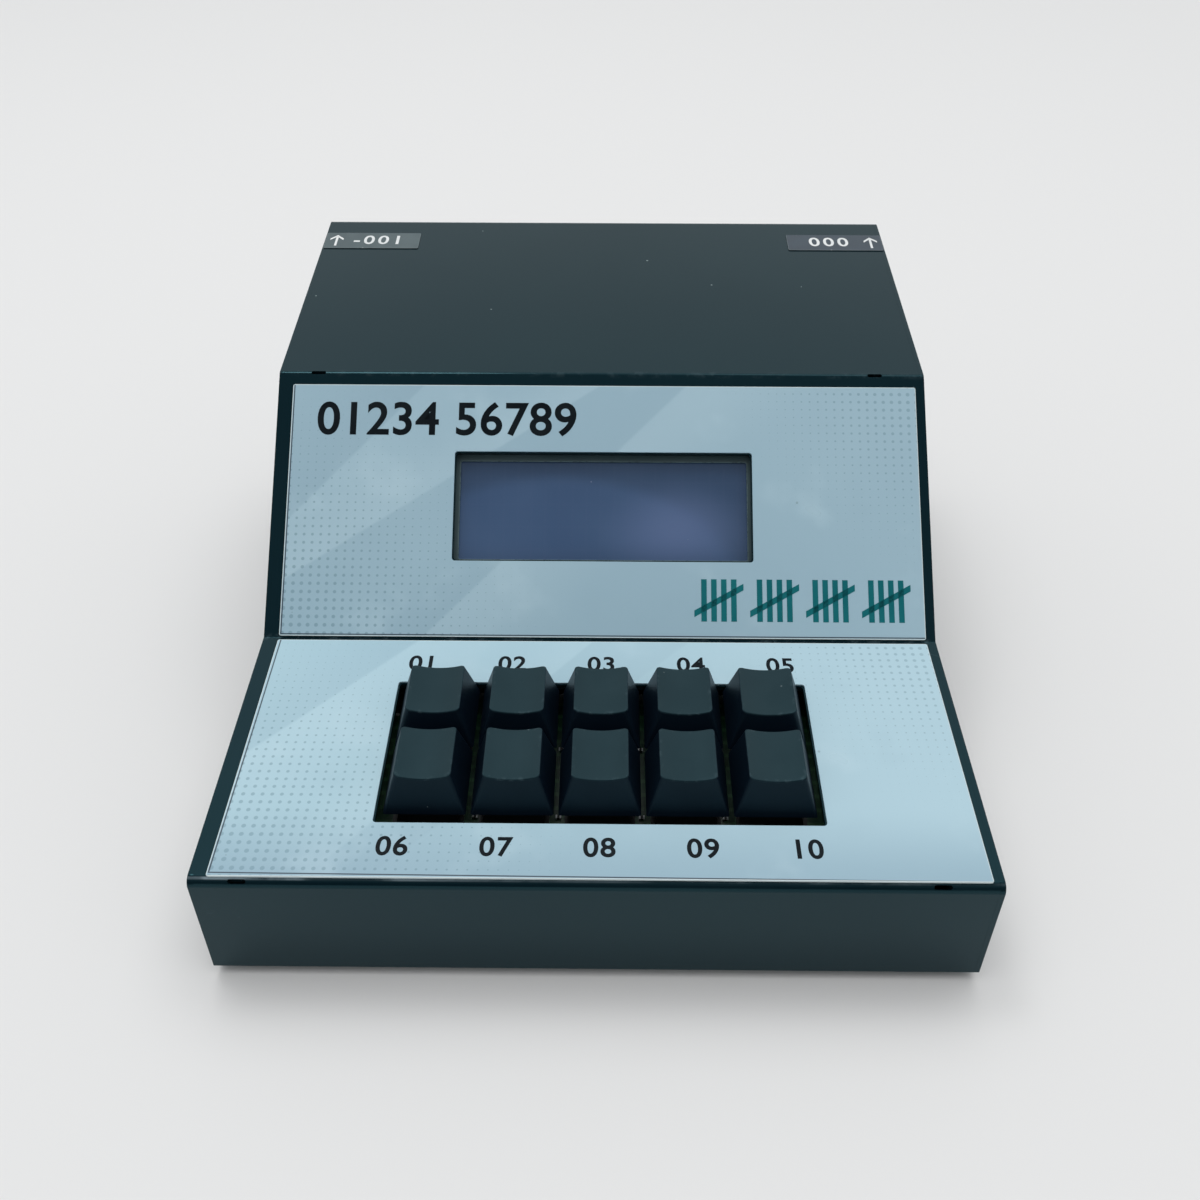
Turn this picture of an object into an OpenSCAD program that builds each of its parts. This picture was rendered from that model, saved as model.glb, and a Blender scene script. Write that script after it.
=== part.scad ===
// Differential cell counter: a folded sheet case with a sloping key deck, two rows of tally keys,
// a four-line display, and push buttons, a supply socket and a rocker switch on its rear panel.
// Millimetres. +Z is up, the front wall faces -Y, and the feet stand on Z = 0.

/* [Case] */
// Width over the two side cheeks
case_w = 168.2; // [160:1:190]
// Height of the front wall
front_h = 28.7; // [27:0.1:40]
// Length of the key deck, up its slope
deck_len = 71.7; // [70:0.1:90]
// Slope of the key deck, in degrees
deck_slope = 4.8; // [2:0.1:8]
// Length of the display panel, up its slope
display_len = 70.1; // [69:0.1:90]
// Slope of the display panel, in degrees
display_slope = 42.1; // [36:0.1:48]
// Length of the top panel, up its slope
top_len = 81; // [74:0.1:110]
// Slope of the top panel, in degrees
top_slope = 8.7; // [2:0.1:12]
// Thickness of the folded cover
cover_t = 1.5; // [1:0.1:2]
// Outer radius of the cover's folds
fold_r = 2.2; // [2.1:0.1:3.5]
// Height of the flange that the cover turns down over the rear panel
rear_flange = 8; // [4:0.5:10]
// Thickness of the side cheeks
cheek_t = 1.2; // [0.8:0.1:1.8]
// Width of the lip that each cheek turns in under the cover
lip_w = 10; // [9:0.5:11]
// Thickness of the bottom plate
bottom_t = 1.5; // [1:0.1:2.5]
// Thickness of the rear panel
rear_t = 1.5; // [1:0.1:2.5]
// Length of the slots in the cover's folds
slot_len = 3.8; // [3:0.5:8]
// Width of the slots in the cover's folds
slot_w = 1; // [0.8:0.1:2]
// Distance of the fold slots from the sides of the case, to their middle
slot_side = 11.5; // [8:0.5:20]
// Sideways shift of the pairs of fold slots from the middle of the case
slot_shift = -1.3; // [-2:0.1:2]

/* [Feet] */
// Height of the rubber feet
foot_h = 3; // [2.8:0.1:8]
// Diameter of a foot against the bottom plate
foot_d = 13; // [11:0.5:18]
// Distance of the feet from the outside of the case, to their middle
foot_inset = 22; // [20:1:35]

/* [Keys] */
// Keys in a row
key_cols = 5; // [3:1:5]
// Rows of keys
key_rows = 2; // [1:1:2]
// Distance between the middles of two keys
key_pitch = 19.05; // [18.9:0.05:19.3]
// Side of a keycap's square base
cap_base = 18.1; // [17.8:0.1:18.4]
// Width of a keycap's top
cap_top_w = 12.2; // [11.5:0.1:13]
// Length of a keycap's top
cap_top_l = 14.2; // [13.5:0.1:14.8]
// How far a keycap's top sits back from the middle of its base
cap_back = 1.2; // [0:0.1:1.6]
// Height of a keycap at its corners
cap_h = 9.5; // [9:0.1:11]
// Depth of the dish in a keycap's top
dish_depth = 1.1; // [0.5:0.1:1.5]
// Thickness of a keycap's side walls
cap_wall = 1.4; // [1:0.1:1.6]
// Thickness of a keycap's top under the dish
cap_roof = 1.5; // [1:0.1:2]
// How far a keycap's rim lies below the deck's surface
cap_sink = 0.9; // [0.2:0.1:1.2]
// Travel of a key
key_travel = 4; // [3:0.1:4.2]

/* [Key cut-out] */
// Sideways place of the key and display cut-outs from the middle of the case
cutout_x = 0.7; // [-2:0.1:2]
// Distance from the front fold to the key cut-out
opening_s = 15.3; // [14:0.1:18]
// Gap in front of the keycaps
gap_front = 2.7; // [1:0.1:3.5]
// Gap behind the keycaps
gap_back = 0.9; // [0.7:0.1:2]
// Gap at each end of a row of keycaps
gap_side = 1.25; // [0.8:0.05:2.5]
// Corner radius of the cut-outs
cutout_r = 0.8; // [0.3:0.1:1.5]

/* [Key switches] */
// Height of a switch housing above its board
switch_h = 11.6; // [11.4:0.1:12]
// Side of a switch body between the board and the flange
switch_body = 14; // [13.6:0.1:14.2]
// Side of the switch flange
switch_flange = 15.6; // [15.2:0.1:15.8]
// Height of the flange's underside above the board
flange_z = 5; // [4.6:0.1:5.2]
// Thickness of the flange
flange_t = 1; // [0.8:0.1:1.2]
// Side of the switch housing's top
switch_top = [11, 10.2]; // [9:0.1:12]
// Size of the slider block
slider = [6.8, 5.8]; // [5.6:0.1:7]
// Width over the slider's stops
slider_stop_w = 8.8; // [8.4:0.1:9.2]
// Length of an arm of the cross on the slider
cross_len = 4; // [3.6:0.1:4.2]
// Thickness of an arm of the cross
cross_t = 1.2; // [1:0.05:1.4]
// Height of the cross above the slider block
cross_h = 3.3; // [2.5:0.1:3.6]
// Diameter of the post in a keycap that takes the cross
post_d = 5.5; // [5.2:0.1:5.6]
// Diameter of the switch's middle pin
middle_pin_d = 4; // [3.8:0.1:4.2]
// Length of the switch's middle pin below the board's face
middle_pin_len = 3.6; // [3.5:0.1:4]
// Diameter of the rod under the slider
rod_d = 2.6; // [2.2:0.1:2.8]
// Diameter of the spring's coil
spring_d = 4.4; // [4.2:0.1:4.8]
// Thickness of the spring's coil
spring_t = 0.4; // [0.3:0.05:0.6]

/* [Display] */
// Width of the display window
window_w = 75.8; // [74:0.1:80]
// Length of the display window, up the slope
window_l = 28.2; // [26:0.1:30]
// Distance from the lower fold to the display window
window_s = 20.2; // [20:0.1:30]
// Width and length of the display's viewing area
view_size = [74.1, 26]; // [20:0.1:76]
// Place of the viewing area from the middle of the window
view_shift = [0.1, -0.3]; // [-2:0.1:2]
// Size of the display's bezel
bezel_size = [96.8, 39.3]; // [36:0.1:100]
// Height of the bezel from its face to the display board
bezel_h = 8; // [7:0.1:10]
// Thickness of the bezel's sheet
bezel_t = 0.6; // [0.4:0.1:1]
// Gap between the cover and the bezel's face
bezel_gap = 1.2; // [0.4:0.1:2]
// Size of the display board
lcd_board_size = [98, 60]; // [58:0.5:100]
// Distance of the display board's screws from its edges
lcd_screw_edge = 3; // [2.9:0.1:3.2]
// Thickness of the display glass
glass_t = 2.2; // [1:0.1:3]

/* [Boards] */
// Thickness of the circuit boards
board_t = 1.6; // [1.2:0.1:2]
// Size of the key board
key_board_size = [120, 58]; // [56:1:122]
// Distance of the key board's and main board's screws from their edges
board_screw_edge = 5; // [3:0.1:6]
// Size of the main board
main_board_size = [110, 72]; // [60:1:120]
// Distance from the front wall to the main board
main_board_y = 88; // [86:1:96]
// Height of the main board's posts
post_h = 6; // [4:0.5:8]
// Thickness of the ribbon cables
ribbon_t = 0.9; // [0.6:0.1:1.2]
// Width of the ribbon cables
ribbon_w = 20; // [12:1:25]
// Radius of the ribbon cables' bends
ribbon_bend = 2.5; // [1.5:0.1:4]
// Straight length of a ribbon cable where it leaves a connector
ribbon_lead = 6; // [5:0.5:8]
// Width and length of the controller chip
chip_size = [36, 13.7]; // [13:0.1:40]
// Diameter of the buzzer
buzzer_d = 12; // [9:0.5:14]
// Height of the buzzer
buzzer_h = 9; // [6:0.5:12]

/* [Printed sheets] */
// Thickness of the printed sheets on the deck and the display panel
overlay_t = 0.5; // [0.2:0.1:0.8]
// Width of the printed sheets
overlay_w = 161.8; // [120:0.2:163]
// Gap from the deck's folds to the key sheet
key_sheet_gap = 1.2; // [0.8:0.1:3]
// Gap from the lower fold to the display sheet
display_sheet_low = 0.4; // [0.3:0.1:3]
// Gap from the display sheet to the upper fold
display_sheet_high = 3.5; // [1.2:0.1:5]
// Thickness of the rear labels
label_t = 0.3; // [0.2:0.1:0.5]
// Width and length of a rear label
label_size = [28.4, 8.8]; // [6:0.1:32]
// Gap between a rear label and the rear edge
label_gap = 9.3; // [2:0.1:12]
// Gap between a rear label and the side of the case
label_side = 0.3; // [0.2:0.1:10]

/* [Rear panel] */
// Distance of the push buttons from the sides of the case, to their middle
button_side = 13.5; // [12.5:0.5:25]
// Depth of the push buttons below the case's rear top edge
button_drop = 19; // [18:0.5:22]
// Diameter of a push button's bush
bush_d = 11.8; // [11:0.1:12.5]
// How far a push button's bush stands out of the panel
bush_out = 5; // [4:0.1:7]
// Diameter of a push button's housing behind the panel
button_body_d = 14; // [13.5:0.1:15]
// Depth of a push button's housing behind the panel
button_body_l = 16; // [14:0.1:20]
// Diameter of a push button's cap
button_cap_d = 8.4; // [7.5:0.1:9]
// How far a push button's cap stands out of its bush
button_cap_out = 4.5; // [3:0.1:6]
// Travel of a push button
button_travel = 2; // [1:0.1:2.4]
// Place of the supply socket from the middle of the case
jack_x = -42; // [-50:0.5:-20]
// Height of the supply socket above the underside of the case
jack_z = 20; // [16:0.5:30]
// Diameter of the supply socket's bore
jack_bore_d = 6.2; // [5.8:0.1:6.6]
// Diameter of the supply socket's middle pin
jack_pin_d = 2; // [1.6:0.1:2.5]
// Length of the supply socket's middle pin
jack_pin_len = 8; // [6:0.1:9]
// Place of the rocker switch from the middle of the case
rocker_x = 42; // [20:0.5:50]
// Height of the rocker switch's middle above the underside of the case
rocker_z = 26; // [20:0.5:40]
// Width and height of the rocker switch's rim
rocker_rim = [15, 21]; // [14:0.1:25]
// Width and height of the rocker
rocker_size = [10.6, 16]; // [10:0.1:17]
// Tilt of the rocker to each side, in degrees
rocker_tilt = 10; // [6:0.5:12]
// Diameter of the rocker's hinge pin
rocker_pin_d = 2; // [1.6:0.1:2.4]

/* [Screws] */
// Diameter of the screws
screw_d = 3; // [2.5:0.1:3.2]
// Diameter of the screw heads
head_d = 5.5; // [5:0.1:6]
// Height of the screw heads
head_h = 1.8; // [1.5:0.1:2]
// Distance across the flats of the standoffs and posts
hex_flats = 5.5; // [5:0.1:6]

/* [Clearances] */
// Gap round a screw in a hole that it passes through
hole_gap = 0.2; // [0.1:0.05:0.3]
// Gap round a screw in its thread
thread_gap = 0.05; // [0.03:0.01:0.1]
// Gap round a shaft or slider in its guide
slide_gap = 0.1; // [0.05:0.01:0.15]
// Gap round a hinge pin in its bearing
pin_gap = 0.05; // [0.03:0.01:0.08]
// Gap round a part in a cut-out that holds it
fit_gap = 0.1; // [0.05:0.01:0.2]
// Gap between a printed sheet's cut-out and the cover's
sheet_gap = 0.3; // [0.1:0.1:0.8]

/* [Hidden] */
$fn = 48;
KEYS = key_cols * key_rows;

// Colours
PAINT = [0.14, 0.18, 0.20];
SHEET_BLUE = [0.68, 0.79, 0.84];
BLACK_PLASTIC = [0.07, 0.08, 0.09];
STEM_PLASTIC = [0.16, 0.16, 0.17];
BOARD_GREEN = [0.09, 0.26, 0.19];
STEEL = [0.62, 0.64, 0.66];
RUBBER = [0.10, 0.10, 0.11];
BRASS = [0.72, 0.60, 0.33];
GLASS_BLUE = [0.24, 0.32, 0.46];
LIGHT_GREY = [0.72, 0.75, 0.77];

// The case's side outline
cover_w = case_w - 2 * cheek_t;
slot_x = case_w / 2 - slot_side;
foot_web = 1;
screw_end = 1.5;
rear_reach = bush_out + button_cap_out - cover_t;
case_d = deck_len * cos(deck_slope) + display_len * cos(display_slope) + top_len * cos(top_slope);
y_front = -(case_d + rear_reach) / 2;
y_rear = y_front + case_d;
z_base = foot_h;
z_floor = z_base + bottom_t;
front_foot = [y_front, z_base];
front_fold = [y_front, z_base + front_h];
lower_fold = front_fold + deck_len * [cos(deck_slope), sin(deck_slope)];
upper_fold = lower_fold + display_len * [cos(display_slope), sin(display_slope)];
rear_edge = upper_fold + top_len * [cos(top_slope), sin(top_slope)];
rear_foot = [y_rear, z_base];
z_top = rear_edge[1];
case_path = [front_foot, front_fold, lower_fold, upper_fold, rear_edge, rear_foot];
cover_path = [front_foot, front_fold, lower_fold, upper_fold, rear_edge, rear_edge - [0, rear_flange]];
y_panel = y_rear - cover_t;

// Keys
keys_s = opening_s + gap_front;
opening_w = (key_cols - 1) * key_pitch + cap_base + 2 * gap_side;
opening_l = (key_rows - 1) * key_pitch + cap_base + gap_front + gap_back;
housing_drop = cap_sink - slide_gap;
key_board_z = -(switch_h + housing_drop);
cap_rim_z = switch_h + housing_drop - cap_sink;
switch_floor_z = 1.6;
slider_low = switch_floor_z + key_travel + slide_gap;
slider_top = switch_h + 0.3;
stop_h = 2;
rod_gap = 0.3;
spring_pocket = 1.8;
housing_wall = 1.2;
rod_low = switch_floor_z - rod_gap;
contact_spots = [[-3.81, 2.54], [2.54, 5.08]];
contact_d = 1;
peg_spots = [[-5.08, 0], [5.08, 0]];
peg_d = 1.7;
peg_len = 3;

// Key board, centred under its cut-out
key_board_s = opening_s + opening_l / 2;
key_screw_pitch = within(key_board_size, board_screw_edge);

// Display, centred behind its window
window_mid = window_s + window_l / 2;
view_x = cutout_x + view_shift[0];
view_s = window_mid + view_shift[1];
bezel_z = -(cover_t + bezel_gap);
lcd_board_z = bezel_z - bezel_h;
lcd_screw_pitch = within(lcd_board_size, lcd_screw_edge);
glass_gap = 0.2;
guide_edge = [4, 2];

// Main board
main_board_z = z_floor + post_h;
main_board_top = main_board_z + board_t;
main_board_mid = y_front + main_board_y + main_board_size[1] / 2;
main_screw_pitch = within(main_board_size, board_screw_edge);
plug_size = [25.4, 8.5, 8.5];
strip_size = [25.4, 5, 2.5];
plug_x = 25;
plug_edge = 2;
plug_step = 10;
key_plug_y = y_front + main_board_y + plug_edge;
display_plug_y = key_plug_y + plug_step;
display_strip_edge = 6;
key_strip_edge = 3;
display_strip_s = view_s - lcd_board_size[1] / 2 + display_strip_edge;
key_strip_s = key_board_s + key_board_size[1] / 2 - key_strip_edge;
thread_depth = 6;
contact_tail = 1.7;

// Parts on the main board, from its middle
chip_place = [-6, 6];
chip_h = 3.8;
chip_socket_h = 3;
chip_notch_d = 3;
leg_pitch = 2.54;
leg_w = 1.2;
leg_t = 0.6;
regulator_place = [38, 4];
regulator_w = 10;
tab_size = [1.3, 15.5];
tab_hole_d = 3.6;
regulator_body = [3.3, 9];
lead_w = 0.8;
buzzer_place = [-42, 4];
sound_hole_d = 2.5;

// Rear panel
button_x = case_w / 2 - button_side;
button_z = z_top - button_drop;
button_low_y = y_panel - rear_t - button_body_l;
collar_t = 1.5;
collar_gap = 0.3;
cap_edge = 0.6;
button_wall = 1.5;
socket_body_d = 11;
socket_body_l = 12;
socket_flange_d = 13;
socket_flange_t = 1.6;
socket_barrel_d = 8;
rim_t = 2;
rocker_body = [rocker_size[0] + 2.4, rocker_rim[1] - 2];
rocker_body_l = 13;
rocker_dip = 0.3;
rocker_pivot_y = y_panel + 0.2;
nut_flats = 15;
nut_t = 2.2;
socket_nut_flats = 11;
plunger_y = y_panel - rear_t - button_wall - slide_gap - collar_t;
tag_t = 0.6;
tag_len = 4;
blade_size = [4.8, 7, 0.8];

function within(size, edge) = size - 2 * [edge, edge];

// A sheet's side outline, from its outer line, with arcs at the folds
function right_of(u) = [u[1], -u[0]];
function toward(p, q) = (q - p) / norm(q - p);
function turn(p, q, r) = cross(toward(p, q), toward(q, r));
function bent(p, q, r) =
    (right_of(toward(p, q)) + right_of(toward(q, r))) / (1 + toward(p, q) * toward(q, r));
function shifted(line, d) = [for (i = [0:len(line) - 1])
    i == 0 ? line[0] + d * right_of(toward(line[0], line[1])) :
    i == len(line) - 1 ? line[i] + d * right_of(toward(line[i - 1], line[i])) :
    line[i] + d * bent(line[i - 1], line[i], line[i + 1])];
function spun(v, a) = [v[0] * cos(a) - v[1] * sin(a), v[0] * sin(a) + v[1] * cos(a)];
function arc(p, q, r, radius, steps = 8) =
    let (bend = turn(p, q, r), swing = acos(toward(p, q) * toward(q, r)),
         start = q - radius * tan(swing / 2) * toward(p, q), side = bend > 0 ? -1 : 1,
         middle = start + side * radius * right_of(toward(p, q)))
    [for (k = [0:steps]) middle + spun(start - middle, -side * swing * k / steps)];
function fold_radius(line, i, radius, d, t) =
    turn(line[i - 1], line[i], line[i + 1]) < 0 ? max(radius - d, 0.2) : radius - t + d;
function rounded(line, radius, d, t) = concat(
    [line[0]],
    [for (i = [1:len(line) - 2])
        each arc(line[i - 1], line[i], line[i + 1], fold_radius(line, i, radius, d, t))],
    [line[len(line) - 1]]);
function reversed(list) = [for (i = [len(list) - 1:-1:0]) list[i]];
function strip(line, radius, t) =
    concat(rounded(line, radius, 0, t), reversed(rounded(shifted(line, t), radius, t, t)));

// Places on the folded cover: x across, y up the slope, z out of its surface
module on_deck() {
    translate([0, front_fold[0], front_fold[1]]) rotate([deck_slope, 0, 0]) children();
}

module on_display() {
    translate([0, lower_fold[0], lower_fold[1]]) rotate([display_slope, 0, 0]) children();
}

module on_top() {
    translate([0, upper_fold[0], upper_fold[1]]) rotate([top_slope, 0, 0]) children();
}

// The middle of a key, on the face of the key board
module at_key(key) {
    col = (key - 1) % key_cols;
    row = key_rows - 1 - floor((key - 1) / key_cols);
    x = cutout_x + (col - (key_cols - 1) / 2) * key_pitch;
    s = keys_s + cap_base / 2 + row * key_pitch;
    on_deck() translate([x, s, key_board_z]) children();
}

module at_corners(pitch) {
    for (sx = [-1, 1], sy = [-1, 1])
        translate([sx * pitch[0] / 2, sy * pitch[1] / 2, 0]) children();
}

module on_sides() {
    for (side = [-1, 1]) translate([side * button_x, 0, 0]) children();
}

// A side outline, extruded across the case
module across(w, x = 0) {
    translate([x - w / 2, 0, 0]) rotate([90, 0, 90]) linear_extrude(w) children();
}

// A cylinder that points backwards, out of the rear panel
module rearward(d, l) {
    rotate([-90, 0, 0]) cylinder(d = d, h = l);
}

module slab(size, t, r = 0.5) {
    linear_extrude(t) {
        square([size[0] - 2 * r, size[1]], center = true);
        if (size[1] > 2 * r) square([size[0], size[1] - 2 * r], center = true);
        at_corners([size[0] - 2 * r, size[1] - 2 * r]) circle(r = r);
    }
}

// A box whose walls lean in, with its top set back
module tapered(base, top, h, back = 0) {
    reach = 2 * (base[0] + base[1]);
    intersection() {
        across(reach)
            polygon([[-base[1] / 2, 0], [base[1] / 2, 0], [back + top[1] / 2, h], [back - top[1] / 2, h]]);
        translate([0, reach / 2, 0]) rotate([90, 0, 0]) linear_extrude(reach)
            polygon([[-base[0] / 2, 0], [base[0] / 2, 0], [top[0] / 2, h], [-top[0] / 2, h]]);
    }
}

// A cross-head screw: its head stands on z = 0 and its shank points down
module screw(l) {
    difference() {
        union() {
            cylinder(d = head_d, h = head_h);
            translate([0, 0, -l]) cylinder(d = screw_d, h = l);
        }
        for (a = [0, 90]) rotate(a)
            translate([-head_d / 3, -0.4, head_h / 2]) cube([head_d / 1.5, 0.8, head_h]);
    }
}

// A hexagonal standoff with a thread in its lower end
module standoff(h, depth) {
    difference() {
        translate([0, 0, -h]) cylinder(d = hex_flats / cos(30), h = h, $fn = 6);
        translate([0, 0, -h - 1]) cylinder(d = screw_d + 2 * thread_gap, h = depth + 1);
    }
}

module screw_hole(t) {
    translate([0, 0, -1]) cylinder(d = screw_d + 2 * hole_gap, h = t + 2);
}

// Case
module inside_outline(d, low, back) {
    intersection() {
        polygon(rounded(shifted(case_path, d), fold_r, d, cover_t));
        translate([y_front, z_base + low]) square([case_d - back, z_top]);
    }
}

module top_cover() {
    slot_folds = [front_fold, upper_fold];
    slot_angles = [(90 + deck_slope) / 2, (display_slope + top_slope) / 2];
    color(PAINT) difference() {
        across(cover_w) polygon(strip(cover_path, fold_r, cover_t));
        on_deck() translate([cutout_x, opening_s + opening_l / 2, -2 * cover_t])
            slab([opening_w, opening_l], 4 * cover_t, cutout_r);
        on_display() translate([cutout_x, window_mid, -2 * cover_t])
            slab([window_w, window_l], 4 * cover_t, cutout_r);
        for (i = [0, 1], side = [-1, 1])
            translate([slot_shift + side * slot_x, slot_folds[i][0], slot_folds[i][1]])
                rotate([slot_angles[i], 0, 0]) translate([0, 0, -2 * cover_t])
                    slab([slot_len, slot_w], 4 * cover_t, slot_w / 2);
    }
}

module right_side() {
    difference() {
        union() {
            across(cheek_t, cover_w / 2 + cheek_t / 2)
                polygon(rounded(case_path, fold_r, 0, cover_t));
            across(lip_w, cover_w / 2 - lip_w / 2) difference() {
                inside_outline(cover_t, bottom_t, cover_t + rear_t);
                inside_outline(cover_t + cheek_t, bottom_t + cheek_t, cover_t + rear_t + cheek_t);
            }
        }
        translate([button_x, y_panel - rear_t - 2 * cheek_t, button_z])
            rearward(button_body_d + 2, 4 * cheek_t);
        at_bottom_screws() cylinder(d = screw_d + 2 * thread_gap, h = 2 * lip_w, center = true);
        at_rear_screws() cylinder(d = screw_d + 2 * thread_gap, h = 2 * lip_w, center = true);
    }
}

module at_bottom_screws() {
    inset = foot_inset + foot_d;
    for (sx = [-1, 1], y = [y_front + inset, y_rear - inset])
        translate([sx * (cover_w - lip_w) / 2, y, z_base]) rotate([180, 0, 0]) children();
}

module at_rear_screws() {
    inset = button_drop + nut_flats;
    for (sx = [-1, 1], z = [z_base + head_d * 2.5, z_top - inset])
        translate([sx * (cover_w - lip_w) / 2, y_panel, z]) rotate([-90, 0, 0]) children();
}

module right_cheek() {
    color(PAINT) right_side();
}

module left_cheek() {
    color(PAINT) mirror([1, 0, 0]) right_side();
}

module rear_panel() {
    color(PAINT) difference() {
        intersection() {
            across(cover_w) inside_outline(cover_t, 0, cover_t);
            translate([-case_w, y_panel - rear_t, 0]) cube([2 * case_w, rear_t, 2 * z_top]);
        }
        at_rear_screws() screw_hole_through();
        on_sides() translate([0, y_panel - 2 * rear_t, button_z])
            rearward(bush_d + 2 * fit_gap, 4 * rear_t);
        translate([jack_x, y_panel - 2 * rear_t, z_base + jack_z])
            rearward(socket_barrel_d + 2 * fit_gap, 4 * rear_t);
        translate([rocker_x, y_panel - rear_t / 2, z_base + rocker_z])
            cube([rocker_body[0] + 2 * fit_gap, 4 * rear_t, rocker_body[1] + 2 * fit_gap], center = true);
    }
}

module screw_hole_through() {
    cylinder(d = screw_d + 2 * hole_gap, h = 2 * lip_w, center = true);
}

module at_feet() {
    pitch = [case_w - 2 * foot_inset, case_d - 2 * foot_inset];
    translate([0, (y_front + y_rear) / 2, 0]) at_corners(pitch) children();
}

module at_main_posts() {
    translate([0, main_board_mid, z_floor]) at_corners(main_screw_pitch) children();
}

module bottom_plate() {
    color(PAINT) difference() {
        translate([-cover_w / 2, y_front + cover_t, z_base])
            cube([cover_w, case_d - 2 * cover_t - rear_t, bottom_t]);
        at_bottom_screws() screw_hole_through();
        at_feet() translate([0, 0, z_base - 1])
            cylinder(d = screw_d + 2 * thread_gap, h = bottom_t + 2);
    }
}

module rubber_feet() {
    recess = foot_h - foot_web;
    hole_r = screw_d / 2 + hole_gap;
    bore_r = head_d / 2 + hole_gap;
    color(RUBBER) at_feet() rotate_extrude() polygon([
        [bore_r, 0], [foot_d / 2 - 1, 0], [foot_d / 2, foot_h],
        [hole_r, foot_h], [hole_r, recess], [bore_r, recess]]);
}

module foot_screws() {
    color(STEEL) at_feet() translate([0, 0, foot_h - foot_web]) rotate([180, 0, 0])
        screw(foot_web + bottom_t + screw_end);
}

module case_screws() {
    color(STEEL) {
        at_bottom_screws() screw(bottom_t + cheek_t + screw_end);
        at_rear_screws() screw(rear_t + cheek_t + screw_end);
    }
}

// Printed sheets
module sheet(s0, s1, hole, hole_mid) {
    difference() {
        translate([cutout_x, (s0 + s1) / 2, 0]) slab([overlay_w, s1 - s0], overlay_t);
        translate([cutout_x, hole_mid, -1])
            slab([hole[0] + 2 * sheet_gap, hole[1] + 2 * sheet_gap], overlay_t + 2, cutout_r);
    }
}

module key_overlay() {
    color(SHEET_BLUE) on_deck()
        sheet(key_sheet_gap, deck_len - key_sheet_gap, [opening_w, opening_l], key_board_s);
}

module display_overlay() {
    color(SHEET_BLUE) on_display()
        sheet(display_sheet_low, display_len - display_sheet_high, [window_w, window_l], window_mid);
}

module rear_labels() {
    color(LIGHT_GREY) on_top() for (side = [-1, 1])
        translate([side * (case_w / 2 - label_side - label_size[0] / 2),
                top_len - label_gap - label_size[1] / 2, 0])
            slab(label_size, label_t);
}

// Display module
module lcd_board() {
    color(BOARD_GREEN) on_display() translate([view_x, view_s, lcd_board_z - board_t]) difference() {
        slab(lcd_board_size, board_t, 1);
        at_corners(lcd_screw_pitch) screw_hole(board_t);
    }
}

module lcd_bezel() {
    color(BLACK_PLASTIC) on_display() translate([view_x, view_s, lcd_board_z]) difference() {
        slab(bezel_size, bezel_h, 1);
        translate([0, 0, -1])
            slab(within(bezel_size, bezel_t), bezel_h - bezel_t + 1);
        slab(view_size, bezel_h + 1);
    }
}

module lcd_glass() {
    color(GLASS_BLUE) on_display() translate([view_x, view_s, bezel_z - bezel_t - glass_t])
        slab(within(bezel_size, bezel_t + glass_gap), glass_t);
}

module lcd_backlight() {
    thickness = bezel_h - bezel_t - glass_t;
    color(LIGHT_GREY) on_display() translate([view_x, view_s, lcd_board_z])
        slab(bezel_size - 2 * guide_edge, thickness, 1);
}

module lcd_standoffs() {
    color(BRASS) on_display() translate([view_x, view_s, -cover_t]) at_corners(lcd_screw_pitch)
        standoff(bezel_gap + bezel_h, thread_depth);
}

// Key board and switches
module key_board() {
    color(BOARD_GREEN) difference() {
        on_deck() translate([cutout_x, key_board_s, key_board_z - board_t]) difference() {
            slab(key_board_size, board_t, 1);
            at_corners(key_screw_pitch) screw_hole(board_t);
        }
        for (key = [1:KEYS]) at_key(key) {
            pin_hole([0, 0], middle_pin_d);
            for (spot = peg_spots) pin_hole(spot, peg_d);
            for (spot = contact_spots) pin_hole(spot, contact_d);
        }
    }
}

module pin_hole(spot, d) {
    translate([spot[0], spot[1], -2 * board_t]) cylinder(d = d + 2 * fit_gap, h = 3 * board_t);
}

module key_standoffs() {
    color(BRASS) on_deck() translate([cutout_x, key_board_s, -cover_t]) at_corners(key_screw_pitch)
        standoff(-key_board_z - cover_t, thread_depth);
}

module board_screws() {
    l = board_t + thread_depth - 1;
    color(STEEL) {
        on_deck() translate([cutout_x, key_board_s, key_board_z - board_t])
            at_corners(key_screw_pitch) rotate([180, 0, 0]) screw(l);
        on_display() translate([view_x, view_s, lcd_board_z - board_t])
            at_corners(lcd_screw_pitch) rotate([180, 0, 0]) screw(l);
        translate([0, 0, main_board_top - z_floor]) at_main_posts() screw(board_t + post_h - 1.5);
    }
}

module switch_bases() {
    cavity = slider_stop_w + 2 * slide_gap;
    color(BLACK_PLASTIC) for (key = [1:KEYS]) at_key(key) {
        difference() {
            union() {
                slab([switch_body, switch_body], flange_z);
                translate([0, 0, flange_z]) slab([switch_flange, switch_flange], flange_t);
                translate([0, 0, -middle_pin_len]) cylinder(d = middle_pin_d, h = middle_pin_len + 1);
                for (spot = peg_spots) translate([spot[0], spot[1], -peg_len])
                    cylinder(d = peg_d, h = peg_len + 1);
            }
            translate([0, 0, switch_floor_z]) slab([cavity + 1, cavity + 1], flange_z);
            translate([0, 0, 0.3 - middle_pin_len])
                cylinder(d = rod_d + 2 * slide_gap, h = switch_floor_z + middle_pin_len);
        }
    }
}

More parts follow.
